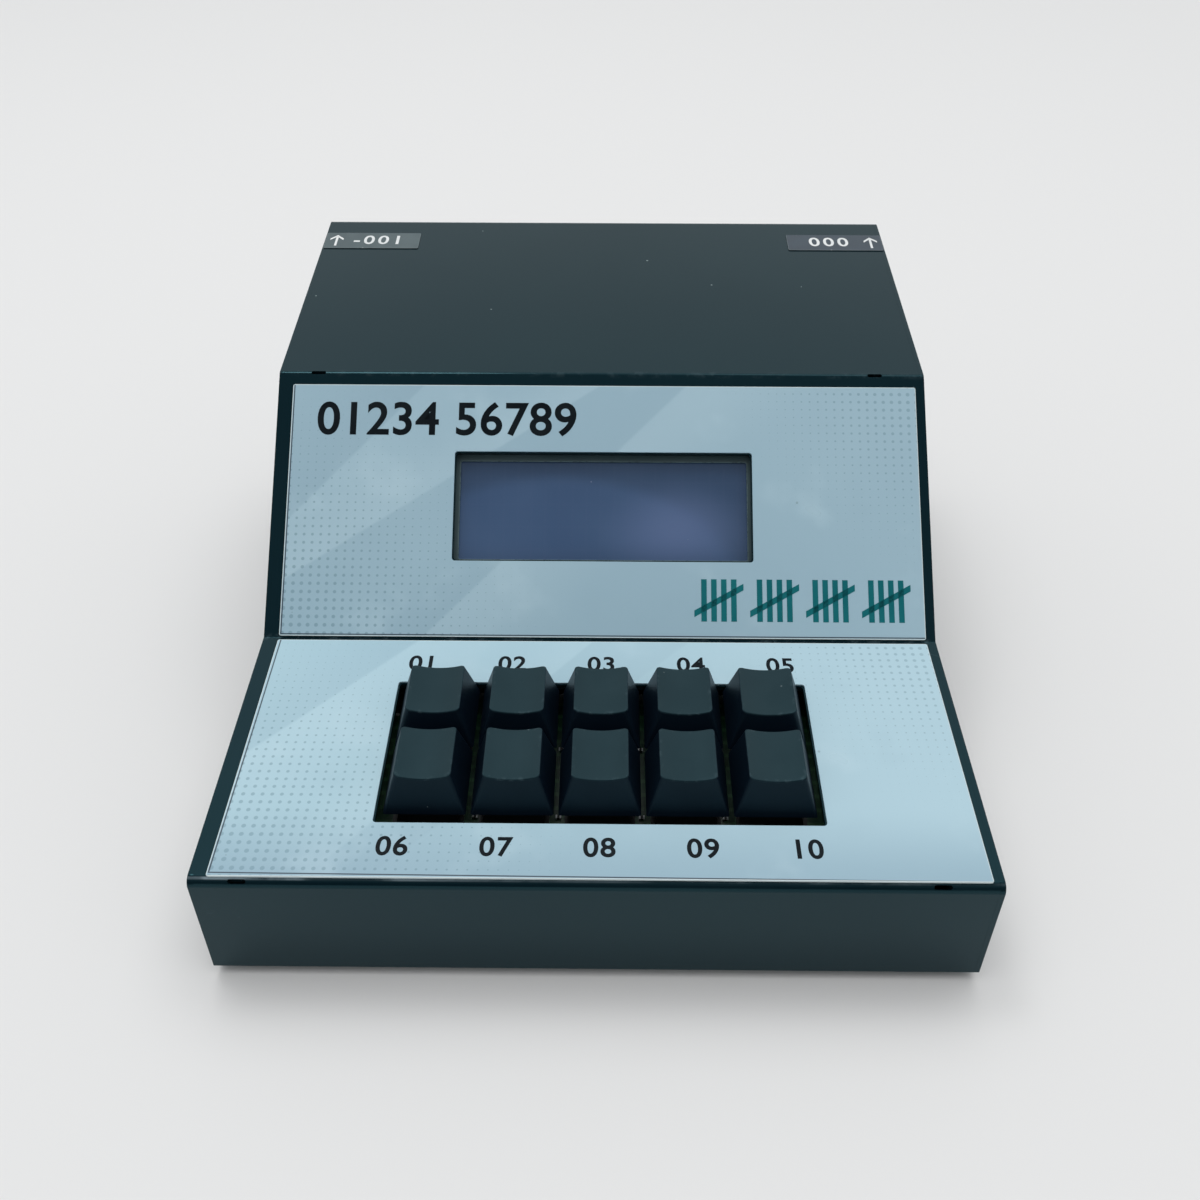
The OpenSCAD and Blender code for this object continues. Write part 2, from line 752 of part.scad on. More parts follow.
module switch_tops() {
    low = flange_z + flange_t;
    h = switch_h - low;
    skirt = switch_body - 0.2;
    inner = [switch_top[0] - 2 * housing_wall, switch_top[1] - 2 * housing_wall];
    color(BLACK_PLASTIC) for (key = [1:KEYS]) at_key(key) translate([0, 0, low]) difference() {
        tapered([skirt, skirt], switch_top, h);
        translate([0, 0, -0.01])
            tapered([skirt - 2 * housing_wall, skirt - 2 * housing_wall], inner, h - housing_wall);
        slab([slider[0] + 2 * slide_gap, slider[1] + 2 * slide_gap], h + 1);
    }
}

module switch_pins() {
    color(BRASS) for (key = [1:KEYS], spot = contact_spots) at_key(key)
        translate([spot[0], spot[1], -board_t - contact_tail])
            cylinder(d = contact_d, h = board_t + contact_tail);
}

module switch_springs() {
    h = slider_low + spring_pocket - switch_floor_z;
    color(STEEL) for (key = [1:KEYS]) at_key(key) translate([0, 0, switch_floor_z]) difference() {
        cylinder(d = spring_d, h = h);
        translate([0, 0, -1]) cylinder(d = spring_d - 2 * spring_t, h = h + 2);
    }
}

module key_stem(key) {
    stop_z = switch_h - housing_wall - slide_gap - stop_h;
    color(STEM_PLASTIC) at_key(key) {
        difference() {
            union() {
                translate([0, 0, slider_low]) slab(slider, slider_top - slider_low, 0.3);
                translate([0, 0, stop_z]) slab([slider_stop_w - 0.6, slider[1] - 0.4], stop_h, 0.3);
            }
            translate([0, 0, slider_low - 1]) difference() {
                cylinder(d = spring_d + 4 * slide_gap, h = spring_pocket + 1);
                cylinder(d = rod_d, h = spring_pocket + 1);
            }
        }
        translate([0, 0, rod_low]) cylinder(d = rod_d, h = slider_low + spring_pocket - rod_low);
        translate([0, 0, slider_top]) {
            translate([-cross_len / 2, -cross_t / 2, 0]) cube([cross_len, cross_t, cross_h]);
            translate([-cross_t / 2, -cross_len / 2, 0]) cube([cross_t, cross_len, cross_h]);
        }
    }
}

module keycap(key) {
    post_z = slider_top + slide_gap - cap_rim_z;
    roof_z = cap_h - dish_depth - cap_roof;
    dish_r = (pow(cap_top_w / 2, 2) + pow(dish_depth, 2)) / (2 * dish_depth);
    lean_w = (cap_base - cap_top_w) * roof_z / cap_h;
    lean_l = (cap_base - cap_top_l) * roof_z / cap_h;
    back = cap_back * roof_z / cap_h;
    inner = cap_base - 2 * cap_wall;
    arm = [cross_len + 2 * fit_gap, cross_t + 2 * fit_gap];
    color(BLACK_PLASTIC) at_key(key) translate([0, 0, cap_rim_z]) {
        difference() {
            tapered([cap_base, cap_base], [cap_top_w, cap_top_l], cap_h, cap_back);
            translate([0, 0, -0.01])
                tapered([inner, inner], [inner - lean_w, inner - lean_l], roof_z, back);
            translate([0, cap_base, cap_h - dish_depth + dish_r]) rotate([90, 0, 0])
                cylinder(r = dish_r, h = 2 * cap_base, $fn = 96);
        }
        translate([0, 0, post_z]) difference() {
            cylinder(d = post_d, h = roof_z - post_z + 0.2);
            translate([0, 0, cross_h / 2]) cube([arm[0], arm[1], cross_h + 0.2], center = true);
            translate([0, 0, cross_h / 2]) cube([arm[1], arm[0], cross_h + 0.2], center = true);
        }
    }
}

// Electronics
module main_board() {
    color(BOARD_GREEN) translate([0, main_board_mid, main_board_z]) difference() {
        slab(main_board_size, board_t, 1);
        at_corners(main_screw_pitch) screw_hole(board_t);
    }
}

module board_posts() {
    color(BRASS) at_main_posts() difference() {
        cylinder(d = hex_flats / cos(30), h = post_h, $fn = 6);
        translate([0, 0, 1]) cylinder(d = screw_d + 2 * thread_gap, h = post_h);
    }
}

module on_main_board(place) {
    translate([place[0], main_board_mid + place[1], main_board_top]) children();
}

module controller_chip() {
    legs = floor(chip_size[0] / leg_pitch);
    color(BLACK_PLASTIC) on_main_board(chip_place) {
        difference() {
            translate([0, 0, chip_socket_h]) slab(chip_size, chip_h);
            translate([-chip_size[0] / 2, 0, chip_socket_h + chip_h - 0.8])
                cylinder(d = chip_notch_d, h = 2);
        }
        slab([chip_size[0], chip_size[1] + 2 * leg_t], chip_socket_h);
        for (i = [0:legs - 1], side = [-1, 1])
            translate([(i - (legs - 1) / 2) * leg_pitch, side * (chip_size[1] + leg_t) / 2, chip_socket_h])
                cube([leg_w, leg_t, chip_h], center = true);
    }
}

module voltage_regulator() {
    color(STEEL) on_main_board(regulator_place) {
        translate([0, 0, chip_socket_h]) {
            difference() {
                translate([-regulator_w / 2, 0, 0]) cube([regulator_w, tab_size[0], tab_size[1]]);
                translate([0, -1, tab_size[1] - tab_hole_d]) rearward(tab_hole_d, tab_size[0] + 2);
            }
            translate([-regulator_w / 2, -regulator_body[0], 0])
                cube([regulator_w, regulator_body[0], regulator_body[1]]);
        }
        for (i = [-1:1]) translate([i * leg_pitch - lead_w / 2, -regulator_body[0] / 2, 0])
            cube([lead_w, leg_t, chip_socket_h]);
    }
}

module buzzer() {
    color(BLACK_PLASTIC) on_main_board(buzzer_place) difference() {
        cylinder(d = buzzer_d, h = buzzer_h);
        translate([0, 0, buzzer_h - 1.5]) cylinder(d = sound_hole_d, h = 2);
    }
}

// A point in the side view: up a slope from its fold, and below its surface
function on_slope(origin, slope, s, depth) =
    origin + s * [cos(slope), sin(slope)] + depth * [sin(slope), -cos(slope)];

module ribbon_headers() {
    color(BLACK_PLASTIC) {
        on_display() translate([plug_x, display_strip_s, lcd_board_z - board_t - strip_size[2]])
            slab([strip_size[0], strip_size[1]], strip_size[2], 0.3);
        on_deck() translate([-plug_x, key_strip_s, key_board_z - board_t - strip_size[2]])
            slab([strip_size[0], strip_size[1]], strip_size[2], 0.3);
        translate([-plug_x, key_plug_y + plug_size[1] / 2, main_board_top])
            slab([plug_size[0], plug_size[1]], plug_size[2], 0.3);
        translate([plug_x, display_plug_y + plug_size[1] / 2, main_board_top])
            slab([plug_size[0], plug_size[1]], plug_size[2], 0.3);
    }
}

module display_ribbon() {
    start = on_slope(lower_fold, display_slope, display_strip_s + ribbon_t / 2,
        board_t + strip_size[2] - lcd_board_z);
    foot = [display_plug_y + (plug_size[1] + ribbon_t) / 2, main_board_top + plug_size[2]];
    bend = start + ribbon_lead * [sin(display_slope), -cos(display_slope)];
    color(LIGHT_GREY) across(ribbon_w, plug_x)
        polygon(strip([start, bend, foot + [0, ribbon_lead], foot], ribbon_bend, ribbon_t));
}

module key_ribbon() {
    depth = board_t - key_board_z + strip_size[2] / 2 - ribbon_t / 2;
    start = on_slope(front_fold, deck_slope, key_strip_s + strip_size[1] / 2, depth);
    bend = on_slope(front_fold, deck_slope, key_strip_s + strip_size[1] / 2 + ribbon_lead, depth);
    end = [key_plug_y, main_board_top + plug_size[2] / 2];
    color(LIGHT_GREY) across(ribbon_w, -plug_x)
        polygon(strip([start, bend, end - [ribbon_lead, 0], end], ribbon_bend, ribbon_t));
}

// Rear push buttons
module button_body(side) {
    cavity_d = button_body_d - 2 * button_wall;
    color(BLACK_PLASTIC) translate([side * button_x, 0, button_z]) {
        difference() {
            union() {
                translate([0, button_low_y, 0]) rearward(button_body_d, button_body_l);
                translate([0, y_panel - rear_t - 1, 0]) rearward(bush_d, rear_t + bush_out + 1);
            }
            translate([0, button_low_y + button_wall, 0])
                rearward(cavity_d, button_body_l - 2 * button_wall);
            translate([0, button_low_y + button_wall, 0])
                rearward(button_cap_d + 2 * slide_gap, button_body_l + rear_t + bush_out);
        }
        for (i = [-1, 1]) translate([i * leg_pitch - 1, button_low_y - tag_len, -tag_t / 2])
            cube([2, tag_len, tag_t]);
    }
}

module button_cap(side) {
    length = y_rear + rear_reach - plunger_y;
    collar_r = button_body_d / 2 - button_wall - collar_gap;
    cap_r = button_cap_d / 2;
    color(LIGHT_GREY) translate([side * button_x, plunger_y, button_z]) rotate([-90, 0, 0])
        rotate_extrude() polygon([[0, 0], [collar_r, 0], [collar_r, collar_t], [cap_r, collar_t],
            [cap_r, length - cap_edge], [cap_r - cap_edge, length], [0, length]]);
}

module button_springs() {
    low = button_low_y + button_wall;
    color(STEEL) on_sides() translate([0, low, button_z]) difference() {
        rearward(button_cap_d - 1, plunger_y - low);
        translate([0, -1, 0]) rearward(button_cap_d - 2, plunger_y - low + 2);
    }
}

module panel_nuts() {
    color(STEEL) {
        on_sides() translate([0, y_panel, button_z]) nut(nut_flats, bush_d);
        translate([jack_x, y_panel - rear_t - nut_t, z_base + jack_z])
            nut(socket_nut_flats, socket_barrel_d);
    }
}

module nut(flats, bore) {
    difference() {
        rotate([-90, 0, 0]) cylinder(d = flats / cos(30), h = nut_t, $fn = 6);
        translate([0, -1, 0]) rearward(bore + 2 * thread_gap, nut_t + 2);
    }
}

// Supply socket: a barrel from outside through the panel, with a nut behind it
module supply_socket() {
    depth = jack_pin_len + 1.5;
    color(BLACK_PLASTIC) translate([jack_x, 0, z_base + jack_z]) {
        difference() {
            union() {
                translate([0, y_panel, 0]) rearward(socket_flange_d, socket_flange_t);
                translate([0, y_panel - rear_t - socket_body_l, 0])
                    rearward(socket_barrel_d, rear_t + socket_body_l + 0.5);
            }
            translate([0, y_panel + socket_flange_t - depth, 0]) rearward(jack_bore_d, depth + 1);
        }
        translate([0, y_panel + socket_flange_t - depth - 0.5, 0]) rearward(jack_pin_d, jack_pin_len + 0.5);
        for (i = [-1, 1])
            translate([i * leg_pitch - 1, y_panel - rear_t - socket_body_l - tag_len, -tag_t / 2])
                cube([2, tag_len, tag_t]);
    }
}

// Rocker switch
module power_switch_body() {
    mouth = [rocker_size[0] + 0.4, rocker_size[1] + 1.2];
    color(BLACK_PLASTIC) translate([rocker_x, 0, z_base + rocker_z]) {
        difference() {
            union() {
                translate([0, y_panel + rim_t, 0]) rotate([90, 0, 0]) slab(rocker_rim, rim_t, 1);
                translate([-rocker_body[0] / 2, y_panel - rocker_body_l, -rocker_body[1] / 2])
                    cube([rocker_body[0], rocker_body_l + 0.5, rocker_body[1]]);
            }
            translate([-mouth[0] / 2, y_panel - rocker_body_l + 2, -mouth[1] / 2])
                cube([mouth[0], rocker_body_l + rim_t, mouth[1]]);
            translate([0, rocker_pivot_y, 0]) rotate([0, 90, 0])
                cylinder(d = rocker_pin_d + 2 * pin_gap, h = rocker_body[0] - 0.4, center = true);
        }
        for (i = [-1, 1])
            translate([-blade_size[0] / 2, y_panel - rocker_body_l - blade_size[1], i * rocker_size[1] / 4])
                cube(blade_size);
    }
}

module power_rocker() {
    half = rocker_size[1] / 2;
    face = y_panel + rim_t - rocker_pivot_y;
    tip = face + rocker_dip + 0.9;
    color(BLACK_PLASTIC) translate([rocker_x, rocker_pivot_y, z_base + rocker_z])
        rotate([-rocker_tilt, 0, 0]) {
            across(rocker_size[0]) {
                polygon([[-1, -half], [tip, -half], [face + rocker_dip, 0], [tip, half], [-1, half]]);
                circle(d = half);
            }
            rotate([0, 90, 0]) cylinder(d = rocker_pin_d, h = rocker_body[0] - 0.8, center = true);
        }
}

top_cover();
left_cheek();
right_cheek();
rear_panel();
bottom_plate();
rubber_feet();
foot_screws();
case_screws();
display_overlay();
key_overlay();
rear_labels();
lcd_board();
lcd_bezel();
lcd_glass();
lcd_backlight();
lcd_standoffs();
key_board();
key_standoffs();
board_screws();
switch_bases();
switch_tops();
switch_pins();
switch_springs();
for (key = [1:KEYS]) keycap(key);
for (key = [1:KEYS]) key_stem(key);
main_board();
board_posts();
controller_chip();
voltage_regulator();
buzzer();
display_ribbon();
key_ribbon();
ribbon_headers();
button_body(-1);  // minus_button_body
button_cap(-1);  // minus_button_cap
button_body(1);  // reset_button_body
button_cap(1);  // reset_button_cap
button_springs();
panel_nuts();
supply_socket();
power_switch_body();
power_rocker();
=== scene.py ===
from math import cos, pi, radians, sin, tan

import bmesh
import bpy
from mathutils import Matrix, Vector


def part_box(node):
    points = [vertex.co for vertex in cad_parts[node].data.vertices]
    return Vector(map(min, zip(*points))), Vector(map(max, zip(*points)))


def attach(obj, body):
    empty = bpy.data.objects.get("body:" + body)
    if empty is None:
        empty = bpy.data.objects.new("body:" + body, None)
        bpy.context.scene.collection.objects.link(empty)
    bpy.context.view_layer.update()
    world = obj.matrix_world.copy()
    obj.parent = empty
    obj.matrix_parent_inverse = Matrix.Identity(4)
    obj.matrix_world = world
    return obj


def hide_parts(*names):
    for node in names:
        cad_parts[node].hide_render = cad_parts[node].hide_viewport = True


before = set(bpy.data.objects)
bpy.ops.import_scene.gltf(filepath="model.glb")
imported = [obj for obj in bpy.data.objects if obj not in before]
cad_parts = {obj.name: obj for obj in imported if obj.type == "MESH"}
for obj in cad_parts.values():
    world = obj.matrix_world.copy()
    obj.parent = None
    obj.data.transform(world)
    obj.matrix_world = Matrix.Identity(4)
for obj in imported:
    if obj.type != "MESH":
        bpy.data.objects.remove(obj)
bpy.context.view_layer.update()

MM = 0.001

# ---- Sizes that the dressing shares with the case ----
# The slope and length of each panel between the folds, and the radius outside a fold
DECK_SLOPE = radians(4.8)
DISPLAY_SLOPE = radians(42.1)
TOP_SLOPE = radians(8.7)
DECK_LEN = 71.7 * MM
DISPLAY_LEN = 70.1 * MM
FRONT_H = 28.7 * MM
KEYS = range(1, 11)
KEY_COLUMNS = 5

COVER_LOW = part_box("top_cover")[0]
Y_FRONT = COVER_LOW.y
Z_BASE = COVER_LOW.z
FOLD_R = 2.2 * MM
FRONT_FOLD = Vector((0, Y_FRONT, Z_BASE + FRONT_H))
LOWER_FOLD = FRONT_FOLD + DECK_LEN * Vector((0, cos(DECK_SLOPE), sin(DECK_SLOPE)))
UPPER_FOLD = LOWER_FOLD + DISPLAY_LEN * Vector((0, cos(DISPLAY_SLOPE), sin(DISPLAY_SLOPE)))


def slope_frame(fold, slope):
    """The axes of a panel: x across, y up its slope from the fold, z out of its surface."""
    return Matrix.Translation(fold) @ Matrix.Rotation(slope, 4, "X")


DECK = slope_frame(FRONT_FOLD, DECK_SLOPE)
DISPLAY = slope_frame(LOWER_FOLD, DISPLAY_SLOPE)
TOP = slope_frame(UPPER_FOLD, TOP_SLOPE)


def box_on(panel, node):
    """The lowest and highest corners of a CAD node, measured along a panel's axes."""
    to_panel = panel.inverted()
    points = [to_panel @ v.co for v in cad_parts[node].data.vertices]
    low = Vector(min(p[i] for p in points) for i in range(3))
    return low, Vector(max(p[i] for p in points) for i in range(3))


# ---- Node helpers ----
def plug(tree, socket, value):
    if isinstance(value, bpy.types.NodeSocket):
        tree.links.new(value, socket)
    else:
        socket.default_value = value


def node(tree, kind, values=None, **settings):
    """A new node: values fill or feed its inputs, and settings are its own properties."""
    made = tree.nodes.new(kind)
    for key, value in settings.items():
        setattr(made, key, value)
    for key, value in (values or {}).items():
        plug(tree, made.inputs[key], value)
    return made


def maths(tree, operation, a, b=0.0):
    return node(tree, "ShaderNodeMath", {0: a, 1: b}, operation=operation).outputs[0]


def times(tree, a, b):
    return maths(tree, "MULTIPLY", a, b)


def vector_maths(tree, operation, a, b=(0.0, 0.0, 0.0), output="Vector"):
    return node(tree, "ShaderNodeVectorMath", {0: a, 1: b}, operation=operation).outputs[output]


def between(tree, value, low, high, to_low=0.0, to_high=1.0):
    """The value's place between low and high, eased, from to_low to to_high."""
    ranged = node(tree, "ShaderNodeMapRange", {
        "Value": value, "From Min": low, "From Max": high, "To Min": to_low, "To Max": to_high,
    }, interpolation_type="SMOOTHSTEP")
    return ranged.outputs["Result"]


def blended(tree, mask, a, b):
    """Colour a where the mask is 0, and b where it is 1."""
    mix = node(tree, "ShaderNodeMix", data_type="RGBA")
    plug(tree, mix.inputs[0], mask)
    plug(tree, mix.inputs[6], a)
    plug(tree, mix.inputs[7], b)
    return mix.outputs[2]


def over(tree, colour, mask, strength, tone):
    """The colour with a tone laid over it where the mask is, at this strength."""
    return blended(tree, times(tree, mask, strength), colour, tone)


def noise(tree, vector, scale, detail, roughness):
    made = node(tree, "ShaderNodeTexNoise", {
        "Vector": vector, "Scale": scale, "Detail": detail, "Roughness": roughness})
    return made.outputs["Fac"]


def object_place(tree):
    return node(tree, "ShaderNodeTexCoord").outputs["Object"]


def panel_place(tree, fold, slope):
    """Object coordinates turned to a panel's axes."""
    mapped = node(tree, "ShaderNodeMapping", {
        "Vector": object_place(tree), "Location": fold, "Rotation": (slope, 0, 0)}, vector_type="TEXTURE")
    return mapped.outputs["Vector"]


def parts_of(tree, vector):
    """The x, y and z of a vector."""
    split = node(tree, "ShaderNodeSeparateXYZ", {"Vector": vector})
    return split.outputs["X"], split.outputs["Y"], split.outputs["Z"]


def combined(tree, x, y=0.0, z=0.0):
    return node(tree, "ShaderNodeCombineXYZ", {"X": x, "Y": y, "Z": z}).outputs["Vector"]


def turned(tree, vector, rotation):
    return node(tree, "ShaderNodeMapping", {"Vector": vector, "Rotation": rotation}).outputs["Vector"]


def new_group(name, inputs, outputs, tree_kind="ShaderNodeTree"):
    """A node group with named sockets; inputs are (name, kind, value)."""
    tree = bpy.data.node_groups.new(name, tree_kind)
    for label, kind, value in inputs:
        socket = tree.interface.new_socket(label, in_out="INPUT", socket_type="NodeSocket" + kind)
        if value is not None:
            socket.default_value = value
    for label, kind in outputs:
        tree.interface.new_socket(label, in_out="OUTPUT", socket_type="NodeSocket" + kind)
    return tree, tree.nodes.new("NodeGroupInput").outputs, tree.nodes.new("NodeGroupOutput").inputs


def use(tree, group, values):
    """Places a group in a material and gives back its outputs."""
    made = node(tree, "ShaderNodeGroup", node_tree=group)
    for key, value in values.items():
        plug(tree, made.inputs[key], value)
    return made.outputs


# ---- Surface effects that several finishes share ----
def surface_grain():
    """Fine moulded or sprayed grain, with a slow drift of tone."""
    tree, source, sink = new_group("surface_grain", [
        ("Vector", "Vector", None), ("Grain Scale", "Float", 2500.0), ("Drift Scale", "Float", 20.0)],
        [("Height", "Float"), ("Drift", "Float")])
    fine = noise(tree, source["Vector"], source["Grain Scale"], 4.0, 0.6)
    drift = noise(tree, source["Vector"], source["Drift Scale"], 3.0, 0.5)
    tree.links.new(fine, sink["Height"])
    tree.links.new(between(tree, drift, 0.3, 0.7), sink["Drift"])
    return tree


def dust_specks():
    """Scattered tiny specks: one chance in each cell."""
    tree, source, sink = new_group("dust_specks", [
        ("Vector", "Vector", None), ("Cells", "Float", 200.0), ("Size", "Float", 0.08),
        ("Share", "Float", 0.1)], [("Mask", "Float")])
    cells = node(tree, "ShaderNodeTexVoronoi", {"Vector": source["Vector"], "Scale": source["Cells"]})
    shade = node(tree, "ShaderNodeSeparateColor", {"Color": cells.outputs["Color"]})
    chosen = maths(tree, "LESS_THAN", shade.outputs["Red"], source["Share"])
    radius = times(tree, source["Size"], shade.outputs["Green"])
    spot = maths(tree, "LESS_THAN", cells.outputs["Distance"], radius)
    tree.links.new(times(tree, chosen, spot), sink["Mask"])
    return tree


def hair_scratches():
    """Long thin scratches across the surface, broken up along their length."""
    tree, source, sink = new_group("hair_scratches", [
        ("Vector", "Vector", None), ("Turn", "Vector", (0.0, 0.0, 0.3)), ("Share", "Float", 0.03)],
        [("Mask", "Float")])
    stretched = vector_maths(tree, "MULTIPLY", turned(tree, source["Vector"], source["Turn"]), (12, 900, 900))
    line = noise(tree, stretched, 1.0, 2.0, 0.4)
    patch = noise(tree, source["Vector"], 45.0, 2.0, 0.5)
    least = maths(tree, "SUBTRACT", 0.78, source["Share"])
    thin = between(tree, line, least, 0.8)
    tree.links.new(times(tree, thin, between(tree, patch, 0.5, 0.65)), sink["Mask"])
    return tree


def fold_rub_and_highlight():
    """Paint rubbed along a fold that runs across the case at this height and depth; its nearness also places
    a painted highlight.
    """
    tree, source, sink = new_group("fold_rub_and_highlight", [
        ("Vector", "Vector", None), ("Fold Y", "Float", 0.0), ("Fold Z", "Float", 0.0),
        ("Reach", "Float", 0.001)], [("Mask", "Float"), ("Near", "Float")])
    x, y, z = parts_of(tree, source["Vector"])
    dy = maths(tree, "SUBTRACT", y, source["Fold Y"])
    dz = maths(tree, "SUBTRACT", z, source["Fold Z"])
    squared = maths(tree, "ADD", times(tree, dy, dy), times(tree, dz, dz))
    distance = maths(tree, "SQRT", squared)
    share = maths(tree, "DIVIDE", distance, source["Reach"])
    near = between(tree, share, 1.0, 0.0)
    ragged = noise(tree, source["Vector"], 260.0, 5.0, 0.7)
    tree.links.new(times(tree, near, between(tree, ragged, 0.48, 0.66)), sink["Mask"])
    tree.links.new(near, sink["Near"])
    return tree


def edge_wear():
    """Wear on the rounded edges, which carry the attribute "edge"."""
    tree, source, sink = new_group("edge_wear", [
        ("Vector", "Vector", None), ("Edge", "Float", 0.0), ("Scale", "Float", 400.0),
        ("Share", "Float", 0.5)], [("Mask", "Float")])
    ragged = noise(tree, source["Vector"], source["Scale"], 5.0, 0.65)
    least = maths(tree, "SUBTRACT", 0.75, times(tree, source["Share"], 0.4))
    worn = between(tree, ragged, least, maths(tree, "ADD", least, 0.1))
    tree.links.new(times(tree, worn, source["Edge"]), sink["Mask"])
    return tree


def halftone_fade():
    """Printed dots on a square grid, largest around a centre and gone at its reach."""
    tree, source, sink = new_group("halftone_fade", [
        ("Vector", "Vector", None), ("Centre", "Vector", (0.0, 0.0, 0.0)), ("Pitch", "Float", 0.0021),
        ("Reach", "Float", 0.05), ("Dot", "Float", 0.3)], [("Mask", "Float")])
    pitch = combined(tree, source["Pitch"], source["Pitch"], 1000.0)
    inside = vector_maths(tree, "FRACTION", vector_maths(tree, "DIVIDE", source["Vector"], pitch))
    from_dot = vector_maths(tree, "DISTANCE", inside, (0.5, 0.5, 0.0), "Value")
    from_centre = vector_maths(tree, "DISTANCE", source["Vector"], source["Centre"], "Value")
    away = maths(tree, "DIVIDE", from_centre, source["Reach"])
    size = times(tree, between(tree, away, 1.0, 0.0), source["Dot"])
    soft = maths(tree, "SUBTRACT", size, from_dot)
    tree.links.new(between(tree, soft, -0.04, 0.04), sink["Mask"])
    return tree


def sheet_border():
    """How far a point of a panel lies inside the border of the sheet on it."""
    tree, source, sink = new_group("sheet_border", [
        ("Vector", "Vector", None), ("Middle", "Vector", (0.0, 0.0, 0.0)),
        ("Half Width", "Float", 0.08), ("Half Length", "Float", 0.03)], [("Inside", "Float")])
    x, y, z = parts_of(tree, vector_maths(tree, "SUBTRACT", source["Vector"], source["Middle"]))
    across = maths(tree, "SUBTRACT", source["Half Width"], maths(tree, "ABSOLUTE", x))
    along = maths(tree, "SUBTRACT", source["Half Length"], maths(tree, "ABSOLUTE", y))
    tree.links.new(maths(tree, "MINIMUM", across, along), sink["Inside"])
    return tree


GRAIN = surface_grain()
SPECKS = dust_specks()
SCRATCHES = hair_scratches()
RUB_AND_HIGHLIGHT = fold_rub_and_highlight()
WEAR = edge_wear()
HALFTONE = halftone_fade()
BORDER = sheet_border()


# ---- Finishes ----
def new_finish(name, **sockets):
    """A material with its Principled shader; sockets are constants, by name with spaces as _."""
    made = bpy.data.materials.new(name)
    made.use_nodes = True
    shader = made.node_tree.nodes["Principled BSDF"]
    for key, value in sockets.items():
        shader.inputs[key.replace("_", " ")].default_value = value
    return made, made.node_tree, shader


def coloured(tree, shader, colour, roughness=None):
    """Feeds the shader's colour, and its roughness where that varies."""
    tree.links.new(colour, shader.inputs["Base Color"])
    if roughness is not None:
        tree.links.new(roughness, shader.inputs["Roughness"])


def bumped(tree, shader, height, distance, strength):
    bump = node(tree, "ShaderNodeBump", {"Height": height, "Distance": distance, "Strength": strength})
    tree.links.new(bump.outputs["Normal"], shader.inputs["Normal"])


def edge_value(tree):
    return node(tree, "ShaderNodeAttribute", attribute_name="edge").outputs["Fac"]


def grained(tree, place, grain_scale, drift_scale):
    """The height and the drift of a surface's grain."""
    return use(tree, GRAIN, {"Vector": place, "Grain Scale": grain_scale, "Drift Scale": drift_scale})


def speck_mask(tree, place, cells, size, share):
    """Specks of at most this size in this share of the cells."""
    return use(tree, SPECKS, {"Vector": place, "Cells": cells, "Size": size, "Share": share})["Mask"]


def wear_mask(tree, place, scale, share):
    """Ragged wear over this share of the rounded edges."""
    return use(tree, WEAR, {
        "Vector": place, "Edge": edge_value(tree), "Scale": scale, "Share": share})["Mask"]


def scratch_mask(tree, place, turn, share):
    """Scratches that run along x once they are turned."""
    return use(tree, SCRATCHES, {"Vector": place, "Turn": turn, "Share": share})["Mask"]


def fold_crest(fold, slope, tilt):
    """A point on the rounded fold over an upright wall, where its surface faces up at this tilt."""
    start = fold + FOLD_R * tan((pi / 2 - slope) / 2) * Vector((0, cos(slope), sin(slope)))
    centre = start + FOLD_R * Vector((0, sin(slope), -cos(slope)))
    return centre + FOLD_R * Vector((0, -cos(tilt), sin(tilt)))


def rub_and_highlight_band(tree, place, fold, reach):
    """How a fold through this point is rubbed, and how near it is, which also places the front fold's painted
    highlight.
    """
    return use(tree, RUB_AND_HIGHLIGHT, {"Vector": place, "Fold Y": fold.y, "Fold Z": fold.z, "Reach": reach})


def case_paint():
    """Gloss blue-black stove enamel over steel: rubbed folds, specks, and a painted highlight on the front
    fold.
    """
    made, tree, shader = new_finish("case_paint", Specular_IOR_Level=0.36,
                                    Specular_Tint=(0.30, 0.85, 1.0, 1))
    place = object_place(tree)
    grain = grained(tree, place, 900.0, 14.0)
    colour = blended(tree, grain["Drift"], (0.0026, 0.0100, 0.0150, 1), (0.0040, 0.0130, 0.0180, 1))
    bare = (0.20, 0.27, 0.30, 1)
    for fold, reach, strength in ((LOWER_FOLD, 1.4 * MM, 0.16), (UPPER_FOLD, 1.5 * MM, 0.08)):
        colour = over(tree, colour, rub_and_highlight_band(tree, place, fold, reach)["Mask"], strength, bare)
    # Painted highlight: a thin pale line on the front fold's crest, fading to the right and broken up, as a
    # lamp's reflection
    crest = fold_crest(FRONT_FOLD, DECK_SLOPE, radians(61))
    sheen_mask = rub_and_highlight_band(tree, place, crest, 0.5 * MM)["Near"]
    highlight_leftward = between(tree, parts_of(tree, place)[0], -0.01, -0.07, 0.25, 1.0)
    highlight_breaks = between(tree, noise(tree, place, 60.0, 4.0, 0.6), 0.40, 0.62, 0.1, 1.0)
    shine = times(tree, times(tree, sheen_mask, highlight_leftward), highlight_breaks)
    colour = blended(tree, shine, colour, (0.26, 0.32, 0.36, 1))
    worn = wear_mask(tree, place, 500.0, 0.25)
    colour = over(tree, colour, worn, 0.4, bare)
    specks = speck_mask(tree, place, 160.0, 0.06, 0.16)
    colour = over(tree, colour, specks, 0.5, (0.35, 0.42, 0.42, 1))
    lines = scratch_mask(tree, place, (0.0, 0.0, 0.35), 0.02)
    colour = over(tree, colour, lines, 0.12, bare)
    coloured(tree, shader, colour, between(tree, grain["Drift"], 0, 1, 0.10, 0.17))
    bumped(tree, shader, grain["Height"], 0.015 * MM, 0.25)
    return made


